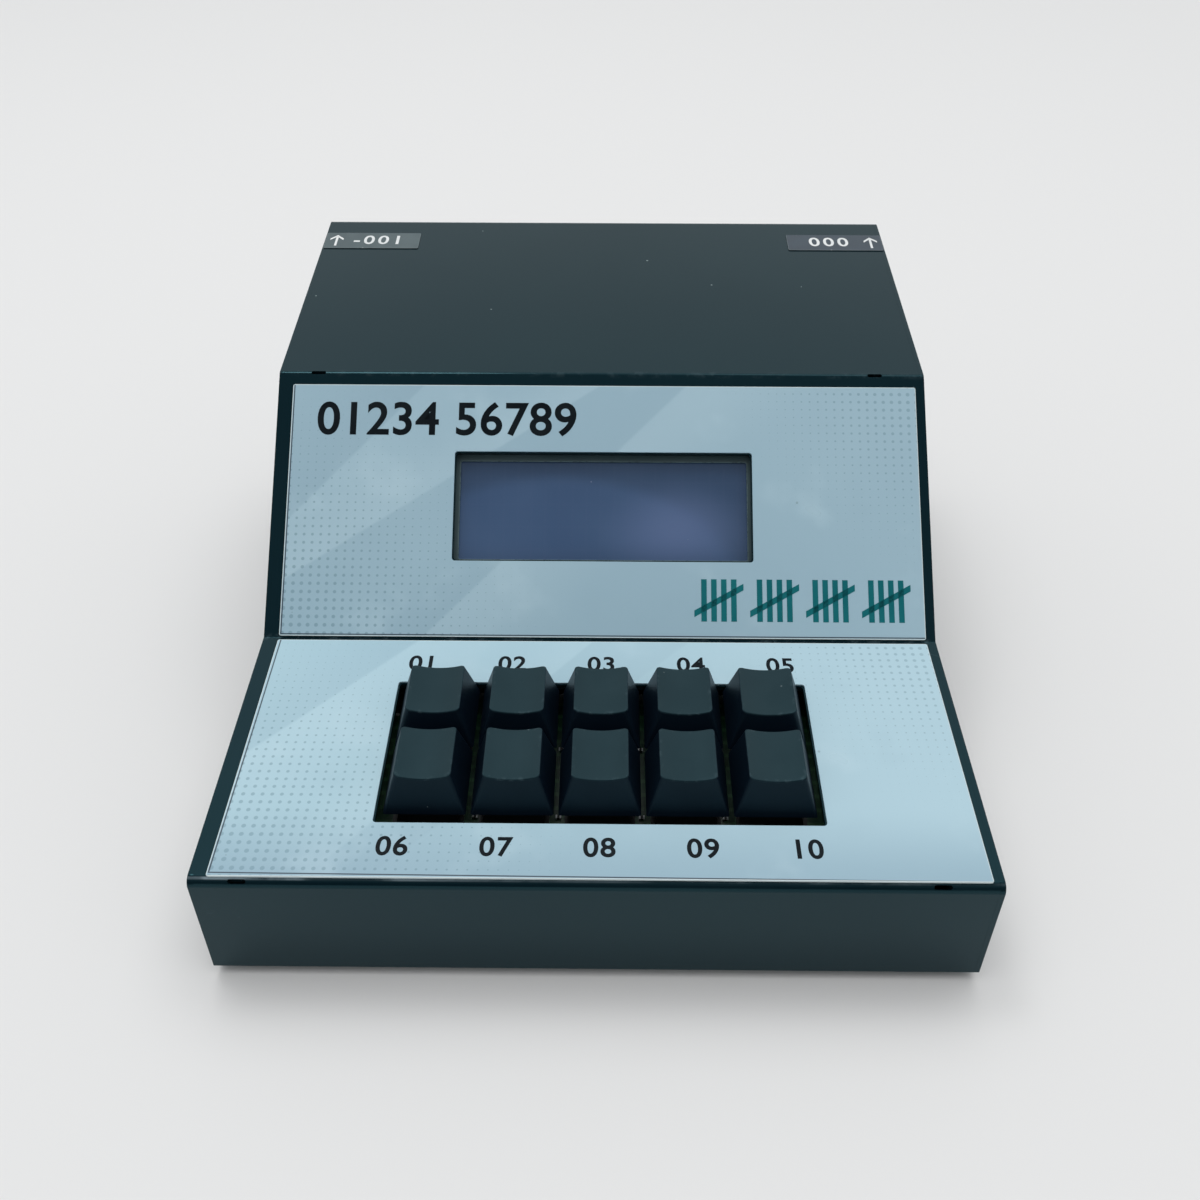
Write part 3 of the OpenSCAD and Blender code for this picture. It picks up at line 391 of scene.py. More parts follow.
def print_bands(tree, place, colour, bands):
    """Broad diagonal bands: sharp on one edge, and fading away from it."""
    for turn, edge, reach, strength, tone in bands:
        x = parts_of(tree, turned(tree, place, (0, 0, radians(turn))))[0]
        start = 0.5 if reach > 0 else -0.5
        sharp = between(tree, x, (edge - start) * MM, (edge + start) * MM)
        fade = between(tree, x, edge * MM, (edge + reach) * MM, 1.0, 0.0)
        colour = over(tree, colour, times(tree, sharp, fade), strength, tone)
    return colour


def printed_sheet(name, fold, slope, node_name, tones, line_turn, dots, bands):
    """Satin polycarbonate, printed on its back: soft bands, fading dots and a line along its border."""
    made, tree, shader = new_finish(name, Specular_IOR_Level=0.4)
    place = panel_place(tree, fold, slope)
    grain = grained(tree, place, 1800.0, 9.0)
    colour = blended(tree, grain["Drift"], *tones)
    colour = print_bands(tree, place, colour, bands)
    smears = noise(tree, place, 42.0, 3.0, 0.55)
    colour = blended(tree, between(tree, smears, 0.54, 0.74, 0.0, 0.30), colour, SHEET_PALE)
    colour = blended(tree, between(tree, smears, 0.46, 0.26, 0.0, 0.14), colour, SHEET_DEEP)
    for centre, reach, strength in dots:
        dot = use(tree, HALFTONE, {"Vector": place, "Centre": (centre[0] * MM, centre[1] * MM, 0.0),
                                   "Pitch": DOT_PITCH, "Reach": reach * MM, "Dot": 0.27})
        colour = over(tree, colour, dot["Mask"], strength, (0.13, 0.24, 0.30, 1))
    low, high = box_on(slope_frame(fold, slope), node_name)

    def inside(vector, shift, growth):
        """How far inside the sheet's outline, once that is shifted along both axes and grown."""
        half = (high - low) / 2
        middle = (low + high) / 2
        return use(tree, BORDER, {
            "Vector": vector, "Middle": (middle.x + shift, middle.y + shift, 0.0),
            "Half Width": half.x + growth, "Half Length": half.y + growth})["Inside"]

    border = inside(place, 0.0, 0.0)
    skewed = turned(tree, place, (0, 0, radians(line_turn)))
    off_line = maths(tree, "ABSOLUTE", inside(skewed, LINE_SHIFT, LINE_GROWTH))
    colour = blended(tree, between(tree, off_line, 0.19 * MM, 0.12 * MM, 0.0, 0.9), colour, SHEET_LINE)
    colour = blended(tree, between(tree, border, 0.26 * MM, 0.12 * MM), colour, (0.62, 0.72, 0.74, 1))
    specks = speck_mask(tree, place, 220.0, 0.09, 0.05)
    colour = over(tree, colour, specks, 0.45, (0.16, 0.24, 0.27, 1))
    rough = between(tree, grain["Drift"], 0, 1, 0.36, 0.46)
    wiped = between(tree, smears, 0.5, 0.7, 0.0, 0.10)
    coloured(tree, shader, colour, maths(tree, "SUBTRACT", rough, wiped))
    bumped(tree, shader, grain["Height"], 0.01 * MM, 0.3)
    return made


def ink(name, colour, dark):
    """Screen-printed ink, a little uneven."""
    made, tree, shader = new_finish(name, Specular_IOR_Level=0.1)
    grain = grained(tree, object_place(tree), 1500.0, 120.0)
    coloured(tree, shader, blended(tree, grain["Drift"], colour, dark),
             between(tree, grain["Height"], 0.3, 0.7, 0.38, 0.5))
    bumped(tree, shader, grain["Height"], 0.008 * MM, 0.3)
    return made


def moulded(name, colour, lighter, roughness, grain_scale=3200.0, wear=0.3, coat=0.0, depth=0.02):
    """Moulded plastic: spark-eroded grain, a drift of tone, and edges that have gone shiny."""
    made, tree, shader = new_finish(name, Coat_Weight=coat, Coat_Roughness=0.2)
    place = object_place(tree)
    grain = grained(tree, place, grain_scale, 60.0)
    tone = blended(tree, grain["Drift"], colour, lighter)
    worn = wear_mask(tree, place, 700.0, wear)
    specks = speck_mask(tree, place, 420.0, 0.10, 0.06)
    marks = maths(tree, "MAXIMUM", times(tree, worn, 0.35), times(tree, specks, 0.4))
    pale = tuple(min(1.0, 3.5 * c + 0.06) for c in colour[:3]) + (1,)
    rough = between(tree, grain["Drift"], 0, 1, roughness - 0.05, roughness + 0.05)
    sheen_mask = times(tree, edge_value(tree), 0.12)
    coloured(tree, shader, blended(tree, marks, tone, pale), maths(tree, "SUBTRACT", rough, sheen_mask))
    bumped(tree, shader, grain["Height"], depth * MM, 0.5)
    return made


def label_tape():
    """Grey-green lettering tape under clear film; the right one is darker."""
    made, tree, shader = new_finish("label_tape", Specular_IOR_Level=0.4, Coat_Weight=0.15,
                                    Coat_Roughness=0.2)
    place = object_place(tree)
    grain = grained(tree, place, 900.0, 160.0)
    left_tone = blended(tree, grain["Drift"], (0.050, 0.080, 0.090, 1), (0.072, 0.106, 0.116, 1))
    right_tone = blended(tree, grain["Drift"], (0.020, 0.036, 0.055, 1), (0.032, 0.052, 0.074, 1))
    tone = blended(tree, between(tree, parts_of(tree, place)[0], -0.01, 0.01), left_tone, right_tone)
    tone = over(tree, tone, edge_value(tree), 0.6, (0.30, 0.36, 0.37, 1))
    specks = speck_mask(tree, place, 500.0, 0.12, 0.10)
    tone = over(tree, tone, specks, 0.5, (0.4, 0.45, 0.46, 1))
    coloured(tree, shader, tone, between(tree, grain["Drift"], 0, 1, 0.32, 0.42))
    bumped(tree, shader, grain["Height"], 0.02 * MM, 0.4)
    return made


def keycap_plastic():
    """Black keycaps: dark sides, and tops lighter by painted light from above and polished smoother by
    fingers.
    """
    made, tree, shader = new_finish("keycap_plastic", Specular_IOR_Level=0.28,
                                    Specular_Tint=(0.45, 0.85, 1.0, 1))
    place = object_place(tree)
    grain = grained(tree, place, 2600.0, 90.0)
    polish_and_painted_light = node(tree, "ShaderNodeAttribute", attribute_name="polish_and_painted_light").outputs["Fac"]
    tone = blended(tree, grain["Drift"], (0.0020, 0.0054, 0.0118, 1), (0.0030, 0.0076, 0.0148, 1))
    # Painted light: the tops get a lighter tone than the sides, as if lit from above
    top = blended(tree, grain["Drift"], (0.0085, 0.0210, 0.0265, 1), (0.0110, 0.0250, 0.0310, 1))
    tone = blended(tree, polish_and_painted_light, tone, top)
    worn = wear_mask(tree, place, 600.0, 0.5)
    tone = over(tree, tone, worn, 0.15, (0.10, 0.15, 0.17, 1))
    specks = speck_mask(tree, place, 520.0, 0.12, 0.05)
    tone = over(tree, tone, specks, 0.4, (0.20, 0.25, 0.26, 1))
    coloured(tree, shader, tone, between(tree, polish_and_painted_light, 0, 1, 0.42, 0.30))
    bumped(tree, shader, grain["Height"], 0.02 * MM, 0.4)
    return made


def plated(name, colour, tarnish, roughness):
    """Plated metal with machining lines, dull patches and bright edges."""
    made, tree, shader = new_finish(name, Metallic=1.0)
    place = object_place(tree)
    grain = grained(tree, place, 1400.0, 180.0)
    lines = scratch_mask(tree, place, (0.4, 0.2, 0.9), 0.05)
    worn = wear_mask(tree, place, 900.0, 0.8)
    tone = blended(tree, grain["Drift"], colour, tarnish)
    tone = blended(tree, maths(tree, "MAXIMUM", worn, lines), tone, (0.86, 0.87, 0.88, 1))
    coloured(tree, shader, tone, between(tree, grain["Drift"], 0, 1, roughness, roughness + 0.16))
    bumped(tree, shader, grain["Height"], 0.01 * MM, 0.4)
    return made


def circuit_board():
    """Green solder mask over copper tracks, with tinned pads."""
    made, tree, shader = new_finish("circuit_board", Coat_Weight=0.4, Coat_Roughness=0.2)
    place = object_place(tree)
    tracks = node(tree, "ShaderNodeTexBrick", {
        "Vector": place, "Scale": 55.0, "Mortar Size": 0.03, "Brick Width": 0.9, "Row Height": 0.22,
        "Color1": (1, 1, 1, 1), "Color2": (1, 1, 1, 1), "Mortar": (0, 0, 0, 1)})
    grain = grained(tree, place, 2200.0, 40.0)
    mask = blended(tree, grain["Drift"], (0.010, 0.045, 0.024, 1), (0.016, 0.062, 0.032, 1))
    colour = blended(tree, tracks.outputs["Fac"], mask, (0.030, 0.095, 0.045, 1))
    pads = speck_mask(tree, place, 300.0, 0.25, 0.08)
    colour = blended(tree, pads, colour, (0.36, 0.37, 0.36, 1))
    coloured(tree, shader, colour, between(tree, grain["Drift"], 0, 1, 0.3, 0.45))
    bumped(tree, shader, tracks.outputs["Fac"], 0.03 * MM, 0.6)
    return made


def display_glass():
    """Unlit blue display: polished glass on a dark indigo layer, faint character cells, and painted
    reflections.
    """
    made, tree, shader = new_finish("display_glass", Coat_Weight=0.6, Coat_Roughness=0.12, Coat_IOR=1.5,
                                    Specular_IOR_Level=0.2)
    place = panel_place(tree, LOWER_FOLD, DISPLAY_SLOPE)
    low, high = box_on(DISPLAY, "lcd_glass")
    centred = vector_maths(tree, "SUBTRACT", place, (low + high) / 2)
    wide = vector_maths(tree, "MULTIPLY", centred, (0.65, 1.0, 1.0))
    # Painted reflections: a darker arc over the upper part and a pale patch to the lower right
    ring = vector_maths(tree, "DISTANCE", wide, (-7.8 * MM, -22 * MM, 0), "Value")
    painted_reflection_patch = vector_maths(tree, "DISTANCE", wide, (12.4 * MM, -5 * MM, 0), "Value")
    drift = noise(tree, place, 30.0, 3.0, 0.5)
    tone = blended(tree, between(tree, drift, 0.35, 0.65), (0.040, 0.085, 0.180, 1), (0.048, 0.097, 0.197, 1))
    tone = blended(tree, between(tree, ring, 28.5 * MM, 33 * MM, 0.0, 0.65), tone, (0.028, 0.058, 0.118, 1))
    tone = blended(tree, between(tree, painted_reflection_patch, 15 * MM, 0.0, 0.0, 0.7), tone, (0.110, 0.165, 0.320, 1))
    cell = node(tree, "ShaderNodeTexBrick", {
        "Vector": place, "Scale": 1.0, "Mortar Size": 0.35 * MM, "Brick Width": 3.55 * MM,
        "Row Height": 5.95 * MM, "Color1": (1, 1, 1, 1), "Color2": (1, 1, 1, 1), "Mortar": (0, 0, 0, 1)},
        offset=0.0)
    tone = over(tree, tone, cell.outputs["Fac"], 0.03, (0.10, 0.13, 0.24, 1))
    specks = speck_mask(tree, place, 400.0, 0.10, 0.05)
    tone = over(tree, tone, specks, 0.5, (0.3, 0.35, 0.45, 1))
    coloured(tree, shader, tone, between(tree, drift, 0.3, 0.7, 0.28, 0.36))
    return made


def ribbed_pvc(name, pitch, colour, groove):
    """Ribbon cable: moulded wires side by side."""
    made, tree, shader = new_finish(name)
    place = object_place(tree)
    wave = maths(tree, "SINE", times(tree, parts_of(tree, place)[0], 2 * pi / pitch))
    grain = grained(tree, place, 1500.0, 50.0)
    tone = blended(tree, between(tree, wave, -0.9, 0.2), groove, colour)
    coloured(tree, shader, over(tree, tone, grain["Drift"], 0.15, (0.6, 0.6, 0.6, 1)))
    bumped(tree, shader, wave, 0.15 * MM, 0.8)
    return made


SHEET_PALE = (0.52, 0.69, 0.77, 1)
SHEET_DEEP = (0.27, 0.41, 0.50, 1)
SHEET_LINE = (0.020, 0.030, 0.050, 1)
DOT_PITCH = 2.12 * MM
# The border's line is printed off centre, and a little outside the sheet's own outline
LINE_SHIFT = 0.75 * MM
LINE_GROWTH = 0.3 * MM
# Bands: turn in degrees, sharp edge and reach of the fade in mm along the turned axis, strength, tone
DISPLAY_BANDS = [(43, -79, -45, 0.50, SHEET_DEEP), (43, -79, 22, 0.08, SHEET_PALE),
                 (57, -56, 30, 0.18, SHEET_DEEP), (57, -56, -16, 0.22, SHEET_PALE),
                 (45, -31.5, -17, 0.26, SHEET_DEEP), (45, -31.5, 26, 0.22, SHEET_PALE),
                 (0, 84, -90, 0.10, SHEET_PALE)]
DECK_BANDS = [(43.4, -81, -28, 0.26, SHEET_DEEP), (43.4, -81, 24, 0.22, SHEET_PALE),
              (40, -46.5, 26, 0.16, SHEET_DEEP), (40, -46.5, -16, 0.22, SHEET_PALE),
              (45, -34, -14, 0.20, SHEET_DEEP), (0, 84, -120, 0.34, SHEET_PALE),
              (-90, -1, 22, 0.80, SHEET_DEEP)]
# Dots: centre across and up the panel, and reach, in mm, and strength
DISPLAY_DOTS = [((-90, -8), 92, 0.50), ((92, 76), 72, 0.44)]
DECK_DOTS = [((-90, -6), 104, 0.46), ((92, 78), 70, 0.38)]

PAINT = case_paint()
# The display sheet's tones are darker than the deck's, though both are one print: painted shade for its
# steeper slope, added to the lamps' own shade
DISPLAY_TONES = ((0.312, 0.468, 0.560, 1), (0.350, 0.512, 0.600, 1))
DECK_TONES = ((0.370, 0.552, 0.640, 1), (0.414, 0.602, 0.684, 1))
SHEET_DISPLAY = printed_sheet("display_sheet", LOWER_FOLD, DISPLAY_SLOPE, "display_overlay", DISPLAY_TONES,
                              0.0, DISPLAY_DOTS, DISPLAY_BANDS)
SHEET_DECK = printed_sheet("deck_sheet", FRONT_FOLD, DECK_SLOPE, "key_overlay", DECK_TONES,
                           0.28, DECK_DOTS, DECK_BANDS)
INK_BLACK = ink("ink_black", (0.0030, 0.0060, 0.0090, 1), (0.0060, 0.0100, 0.0130, 1))
INK_TEAL = ink("ink_teal", (0.004, 0.125, 0.145, 1), (0.007, 0.150, 0.168, 1))
INK_WHITE = ink("ink_white", (0.82, 0.84, 0.84, 1), (0.70, 0.73, 0.74, 1))
LABEL_TAPE = label_tape()
KEYCAP = keycap_plastic()
BLACK_PLASTIC = moulded("black_plastic", (0.010, 0.011, 0.012, 1), (0.016, 0.018, 0.019, 1), 0.42)
STEM_PLASTIC = moulded("stem_plastic", (0.045, 0.040, 0.035, 1), (0.060, 0.055, 0.050, 1), 0.45)
GREY_PLASTIC = moulded("grey_plastic", (0.20, 0.21, 0.22, 1), (0.26, 0.27, 0.28, 1), 0.35, coat=0.2)
BEZEL = moulded("bezel_lacquer", (0.045, 0.080, 0.090, 1), (0.056, 0.094, 0.104, 1), 0.38, 900.0, 0.9, 0.1)
LIGHT_GUIDE = moulded("light_guide", (0.60, 0.62, 0.62, 1), (0.68, 0.70, 0.70, 1), 0.4)
STEEL = plated("zinc_plate", (0.56, 0.58, 0.60, 1), (0.42, 0.44, 0.45, 1), 0.26)
BRASS = plated("brass", (0.72, 0.55, 0.26, 1), (0.55, 0.40, 0.18, 1), 0.3)
BOARD = circuit_board()
GLASS = display_glass()
RIBBON = ribbed_pvc("ribbon_pvc", 1.27 * MM, (0.36, 0.37, 0.38, 1), (0.16, 0.17, 0.18, 1))
RUBBER = moulded("rubber", (0.012, 0.012, 0.013, 1), (0.02, 0.02, 0.021, 1), 0.78, 1500.0, 0.6, depth=0.05)


# ---- Mesh helpers ----
def in_scene(name, data):
    """A new object of this data, in the scene."""
    made = bpy.data.objects.new(name, data)
    bpy.context.scene.collection.objects.link(made)
    return made


def plain_mesh(holder):
    """The mesh that an object comes to with its modifiers; the object itself goes."""
    bpy.context.view_layer.update()
    mesh = bpy.data.meshes.new_from_object(holder.evaluated_get(bpy.context.evaluated_depsgraph_get()))
    holder.modifiers.clear()
    bpy.data.objects.remove(holder)
    return mesh


def worked_mesh(name, work):
    """The mesh of finished bmesh work."""
    mesh = bpy.data.meshes.new(name)
    work.to_mesh(mesh)
    work.free()
    return mesh


def given_finish(mesh, material):
    mesh.materials.clear()
    mesh.materials.append(material)


def as_piece(name, mesh, material, body, slot, *nodes):
    """Makes the object of a mesh, hangs it on its body's empty, and hides the CAD nodes that it stands for.
    """
    given_finish(mesh, material)
    piece = in_scene(name, mesh)
    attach(piece, body)
    if nodes:
        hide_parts(*nodes)


def shaded(mesh, crease=35):
    """Smooth faces with creases at edges sharper than this in degrees, and large faces shaded flat."""
    for face in mesh.polygons:
        face.use_smooth = True
    mesh.set_sharp_from_angle(angle=radians(crease))
    holder = in_scene("facing", mesh)
    facing = holder.modifiers.new("facing", "WEIGHTED_NORMAL")
    facing.keep_sharp = True
    facing.weight = 100
    return plain_mesh(holder)


def rounded_copy(node_name, width):
    """A CAD node's mesh with its edges rounded; its attribute "edge" is 1 on the rounds."""
    work = bmesh.new()
    work.from_mesh(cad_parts[node_name].data)
    bmesh.ops.remove_doubles(work, verts=work.verts, dist=0.001 * MM)
    bmesh.ops.dissolve_limit(work, angle_limit=radians(0.3), use_dissolve_boundaries=False,
                             verts=work.verts, edges=work.edges)
    mark = work.faces.layers.float.new("edge")
    sharp = [e for e in work.edges if len(e.link_faces) == 2 and e.calc_face_angle(0) > radians(32)]
    rounds = bmesh.ops.bevel(work, geom=sharp, offset=width, offset_type="OFFSET", segments=3,
                             profile=0.5, affect="EDGES", clamp_overlap=True)
    for face in rounds["faces"]:
        face[mark] = 1.0
    return shaded(worked_mesh(node_name + "_rounded", work))


def dressed(node_name, material, body, slot, width):
    """A CAD node shown with rounded edges."""
    as_piece(node_name + "_finish", rounded_copy(node_name, width), material, body, slot, node_name)


def plain(material, *nodes):
    """CAD nodes that keep their own mesh, and get a finish."""
    for name in nodes:
        given_finish(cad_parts[name].data, material)


# ---- Case ----
for name in ("top_cover", "left_cheek", "right_cheek", "rear_panel", "bottom_plate"):
    dressed(name, PAINT, "case", "case_paint", 0.25 * MM)
dressed("rubber_feet", RUBBER, "case", "rubber", 0.6 * MM)
dressed("foot_screws", STEEL, "case", "steel", 0.15 * MM)
dressed("case_screws", STEEL, "case", "steel", 0.15 * MM)
dressed("panel_nuts", STEEL, "case", "steel", 0.3 * MM)

# ---- Printed sheets and labels ----
dressed("display_overlay", SHEET_DISPLAY, "case", "printed_sheet", 0.12 * MM)
dressed("key_overlay", SHEET_DECK, "case", "printed_sheet", 0.12 * MM)
dressed("rear_labels", LABEL_TAPE, "case", "label", 0.08 * MM)

# ---- Display, boards and switches ----
dressed("lcd_bezel", BEZEL, "case", "bezel_black", 0.25 * MM)
dressed("lcd_glass", GLASS, "case", "display_glass", 0.15 * MM)
plain(LIGHT_GUIDE, "lcd_backlight")
plain(BOARD, "lcd_board", "key_board", "main_board")
plain(BRASS, "lcd_standoffs", "key_standoffs", "board_posts", "switch_pins")
plain(STEEL, "board_screws", "switch_springs", "button_springs", "voltage_regulator")
plain(BLACK_PLASTIC, "switch_bases", "switch_tops", "controller_chip", "buzzer", "ribbon_headers")
plain(RIBBON, "display_ribbon", "key_ribbon")
plain(STEM_PLASTIC, *[f"key_stem_{k}" for k in KEYS])

# ---- Rear buttons, socket and rocker ----
for name in ("minus_button_body", "reset_button_body", "supply_socket", "power_switch_body"):
    dressed(name, BLACK_PLASTIC, "case", "switch_plastic", 0.25 * MM)
dressed("minus_button_cap", GREY_PLASTIC, "minus_button", "button_cap", 0.35 * MM)
dressed("reset_button_cap", GREY_PLASTIC, "reset_button", "button_cap", 0.35 * MM)
dressed("power_rocker", BLACK_PLASTIC, "power_rocker", "switch_plastic", 0.3 * MM)

# The rocker's tilt at rest, its pin, and how its two halves stand out and slope
ROCKER_TILT = radians(10)
ROCKER_PIN = Vector((42 * MM, 96.465 * MM, 29 * MM))
ROCKER_FACE = 2.1 * MM
ROCKER_RISE = radians(6.42)
ROCKER_MARK = 5.7 * MM


def rocker_half(side):
    """The axes of one half of the rocker's face, seen from behind: x across, y up, z outwards."""
    seen_from_behind = Matrix(((-1, 0, 0), (0, 0, 1), (0, 1, 0))).to_4x4()
    tipped = Matrix.Translation(ROCKER_PIN) @ Matrix.Rotation(-ROCKER_TILT, 4, "X") @ seen_from_behind
    return tipped @ Matrix.Translation((0, 0, ROCKER_FACE)) @ Matrix.Rotation(side * ROCKER_RISE, 4, "X")


# ---- Small chip parts on the key board, repeated by a node tree ----
def chip_grid():
    """Geometry nodes: a grid of chip resistors, each a dark body between two tinned ends."""
    tree, source, sink = new_group("chip_grid", [
        ("Columns", "Int", 4), ("Rows", "Int", 2), ("Column Pitch", "Float", 19.05 * MM),
        ("Row Pitch", "Float", 20 * MM), ("Body", "Vector", (0.9 * MM, 0.9 * MM, 0.5 * MM)),
        ("End Length", "Float", 0.35 * MM), ("Ends Finish", "Material", None),
        ("Body Finish", "Material", None)], [("Geometry", "Geometry")], "GeometryNodeTree")

    def span(count, pitch):
        return times(tree, maths(tree, "SUBTRACT", source[count], 1.0), source[pitch])

    grid = node(tree, "GeometryNodeMeshGrid", {
        "Size X": span("Columns", "Column Pitch"), "Size Y": span("Rows", "Row Pitch"),
        "Vertices X": source["Columns"], "Vertices Y": source["Rows"]})
    length, width, height = parts_of(tree, source["Body"])
    body = node(tree, "GeometryNodeMeshCube", {"Size": source["Body"]})
    wider = maths(tree, "ADD", width, 0.06 * MM)
    taller = maths(tree, "ADD", height, 0.08 * MM)
    end = node(tree, "GeometryNodeMeshCube", {"Size": combined(tree, source["End Length"], wider, taller)})
    ends = tree.nodes.new("GeometryNodeJoinGeometry")
    for side in (-0.5, 0.5):
        moved = node(tree, "GeometryNodeTransform", {
            "Geometry": end.outputs["Mesh"], "Translation": combined(tree, times(tree, length, side))})
        tree.links.new(moved.outputs["Geometry"], ends.inputs["Geometry"])
    whole = tree.nodes.new("GeometryNodeJoinGeometry")
    for shape, finish in ((body.outputs["Mesh"], "Body Finish"), (ends.outputs["Geometry"], "Ends Finish")):
        placed = node(tree, "GeometryNodeInstanceOnPoints", {
            "Points": grid.outputs["Mesh"], "Instance": shape})
        solid = node(tree, "GeometryNodeRealizeInstances", {"Geometry": placed.outputs["Instances"]})
        finished = node(tree, "GeometryNodeSetMaterial", {
            "Geometry": solid.outputs["Geometry"], "Material": source[finish]})
        tree.links.new(finished.outputs["Geometry"], whole.inputs["Geometry"])
    tree.links.new(whole.outputs["Geometry"], sink["Geometry"])
    return tree


def grown_mesh(tree, values):
    """The plain mesh that a geometry node tree gives for these named inputs."""
    holder = in_scene("holder", bpy.data.meshes.new("holder"))
    grower = holder.modifiers.new("grower", "NODES")
    grower.node_group = tree
    for item in tree.interface.items_tree:
        if item.in_out == "INPUT" and item.name in values:
            grower[item.identifier] = values[item.name]
    return plain_mesh(holder)


# The rows' middle is up the deck from the front fold, and a chip's middle is this far over the board
CHIP_ROWS_MIDDLE = 36.1 * MM
CHIP_LIFT = 0.3 * MM

board_low, board_high = box_on(DECK, "key_board")
chips = grown_mesh(chip_grid(), {"Columns": 4, "Rows": 2, "Ends Finish": STEEL, "Body Finish": BLACK_PLASTIC})
chips.transform(DECK @ Matrix.Translation(((board_low.x + board_high.x) / 2, CHIP_ROWS_MIDDLE,
                                           board_high.z + CHIP_LIFT)))
chip_piece = in_scene("key_board_chips", chips)
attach(chip_piece, "case")


# ---- Keycaps ----
CAP_TOP = (12.2 * MM, 14.2 * MM)
CAP_BACK = 1.2 * MM
DISH_DEPTH = 1.1 * MM
CAP_WALL = 1.4 * MM
CAP_ROOF = 1.5 * MM
CAP_INNER_CORNER = 0.6 * MM
CAP_LIP_INSET = 0.15 * MM
EDGE_R = 0.42 * MM
# A cap's corner radius at its foot in mm, and what it gains up to the top
CAP_CORNER = 0.5
CAP_CORNER_GAIN = 0.6
# How many rings of points make a cap's wall, its rounded brim and its dish; the wall's lowest share
WALL_RINGS = 8
BRIM_RINGS = 5
DISH_RINGS = 9
WALL_START = 0.015
# The brim's width as a share of the edge's radius, and how much of it the corner's radius loses
BRIM_WIDTH = 0.8
BRIM_CORNER = 0.3


def rounded_outline(half_x, half_y, radius):
    """Points round a rounded rectangle, as many on each side whatever its size."""
    corner, front, side = 6, 12, 8
    points = []
    inner = (half_x - radius, half_y - radius)
    turns = ((1, -1, -pi / 2, side), (1, 1, 0, front), (-1, 1, pi / 2, side), (-1, -1, pi, front))
    for sx, sy, start, along in turns:
        for i in range(corner):
            angle = start + pi / 2 * i / corner
            points.append((sx * inner[0] + radius * cos(angle), sy * inner[1] + radius * sin(angle)))
        last = start + pi / 2
        travel = Vector((-sin(last), cos(last)))
        corner_end = Vector((sx * inner[0], sy * inner[1])) + radius * Vector((cos(last), sin(last)))
        length = 2 * (inner[1] if along == side else inner[0])
        for i in range(along):
            points.append(tuple(corner_end + travel * length * i / along))
    return points


def keycap_mesh(seat, base, height):
    """A hollow cap: rounded walls leaning in to a top that is dished across."""
    dish_r = ((CAP_TOP[0] / 2) ** 2 + DISH_DEPTH ** 2) / (2 * DISH_DEPTH)

    def top_z(x):
        x = min(abs(x), CAP_TOP[0] / 2)
        return height - DISH_DEPTH + dish_r - (dish_r ** 2 - x ** 2) ** 0.5

    work = bmesh.new()
    edge = work.verts.layers.float.new("edge")
    # This attribute marks the top: polished smoother there, and given painted light in the finish
    polish_and_painted_light = work.verts.layers.float.new("polish_and_painted_light")

    def ring(half_x, half_y, radius, shift, z_of, worn=0.0, polish_and_light_share=0.0):
        row = []
        for x, y in rounded_outline(half_x, half_y, radius):
            vert = work.verts.new(seat @ Vector((x, y + shift, z_of(x))))
            vert[edge] = worn
            vert[polish_and_painted_light] = polish_and_light_share
            row.append(vert)
        return row

    def wall(t, inset=0.0):
        """Half sizes, corner radius and shift of the outside at this share of the height."""
        half_x = base / 2 + (CAP_TOP[0] - base) / 2 * t - inset
        half_y = base / 2 + (CAP_TOP[1] - base) / 2 * t - inset
        return half_x, half_y, (CAP_CORNER + CAP_CORNER_GAIN * t) * MM, CAP_BACK * t

    rings = []
    roof = height - DISH_DEPTH - CAP_ROOF
    for t in (0.95, 0.5, 0.0):
        half_x, half_y, radius, shift = wall(t * roof / height, CAP_WALL)
        rings.append(ring(half_x, half_y, CAP_INNER_CORNER, shift, lambda x, t=t: roof * t))
    rings.append(ring(*wall(0, CAP_LIP_INSET), lambda x: 0.0, 0.6))
    wall_end = 1 - EDGE_R / height
    for i in range(WALL_RINGS):
        t = WALL_START + (wall_end - WALL_START) * i / (WALL_RINGS - 1)
        rings.append(ring(*wall(t), lambda x, s=t / wall_end: s * (top_z(x) - EDGE_R)))
    half_x, half_y, radius, shift = wall(wall_end)
    for i in range(1, BRIM_RINGS + 1):
        angle = pi / 2 * i / BRIM_RINGS
        inset = EDGE_R * (1 - cos(angle)) * BRIM_WIDTH
        lift = EDGE_R * (sin(angle) - 1)
        rings.append(ring(half_x - inset, half_y - inset, radius - inset * BRIM_CORNER, shift,
                          lambda x, l=lift: top_z(x) + l, 1.0, i / BRIM_RINGS))
    inset = EDGE_R * BRIM_WIDTH
    for i in range(1, DISH_RINGS):
        scale = 1 - i / DISH_RINGS
        rings.append(ring((half_x - inset) * scale, (half_y - inset) * scale,
                          (radius - inset * BRIM_CORNER) * scale, shift, top_z, 0.0, 1.0))
    for lower, upper in zip(rings, rings[1:]):
        for i in range(len(lower)):
            j = (i + 1) % len(lower)
            work.faces.new((lower[i], lower[j], upper[j], upper[i]))
    work.faces.new(rings[-1])
    work.faces.new(list(reversed(rings[0])))
    bmesh.ops.recalc_face_normals(work, faces=work.faces)
    return shaded(worked_mesh("keycap", work), 50)


for key in KEYS:
    low, high = box_on(DECK, f"keycap_{key}")
    seat = DECK @ Matrix.Translation(((low.x + high.x) / 2, (low.y + high.y) / 2, low.z))
    mesh = keycap_mesh(seat, high.x - low.x, high.z - low.z)
    as_piece(f"keycap_{key}_moulding", mesh, KEYCAP, f"key_{key}", "keycap_black", f"keycap_{key}")


# ---- Printed characters ----
# A digit's height as a share of the letters' size, and how far ink is raised off what carries it
DIGIT_SHARE = 0.73
INK_LIFT = 0.015 * MM


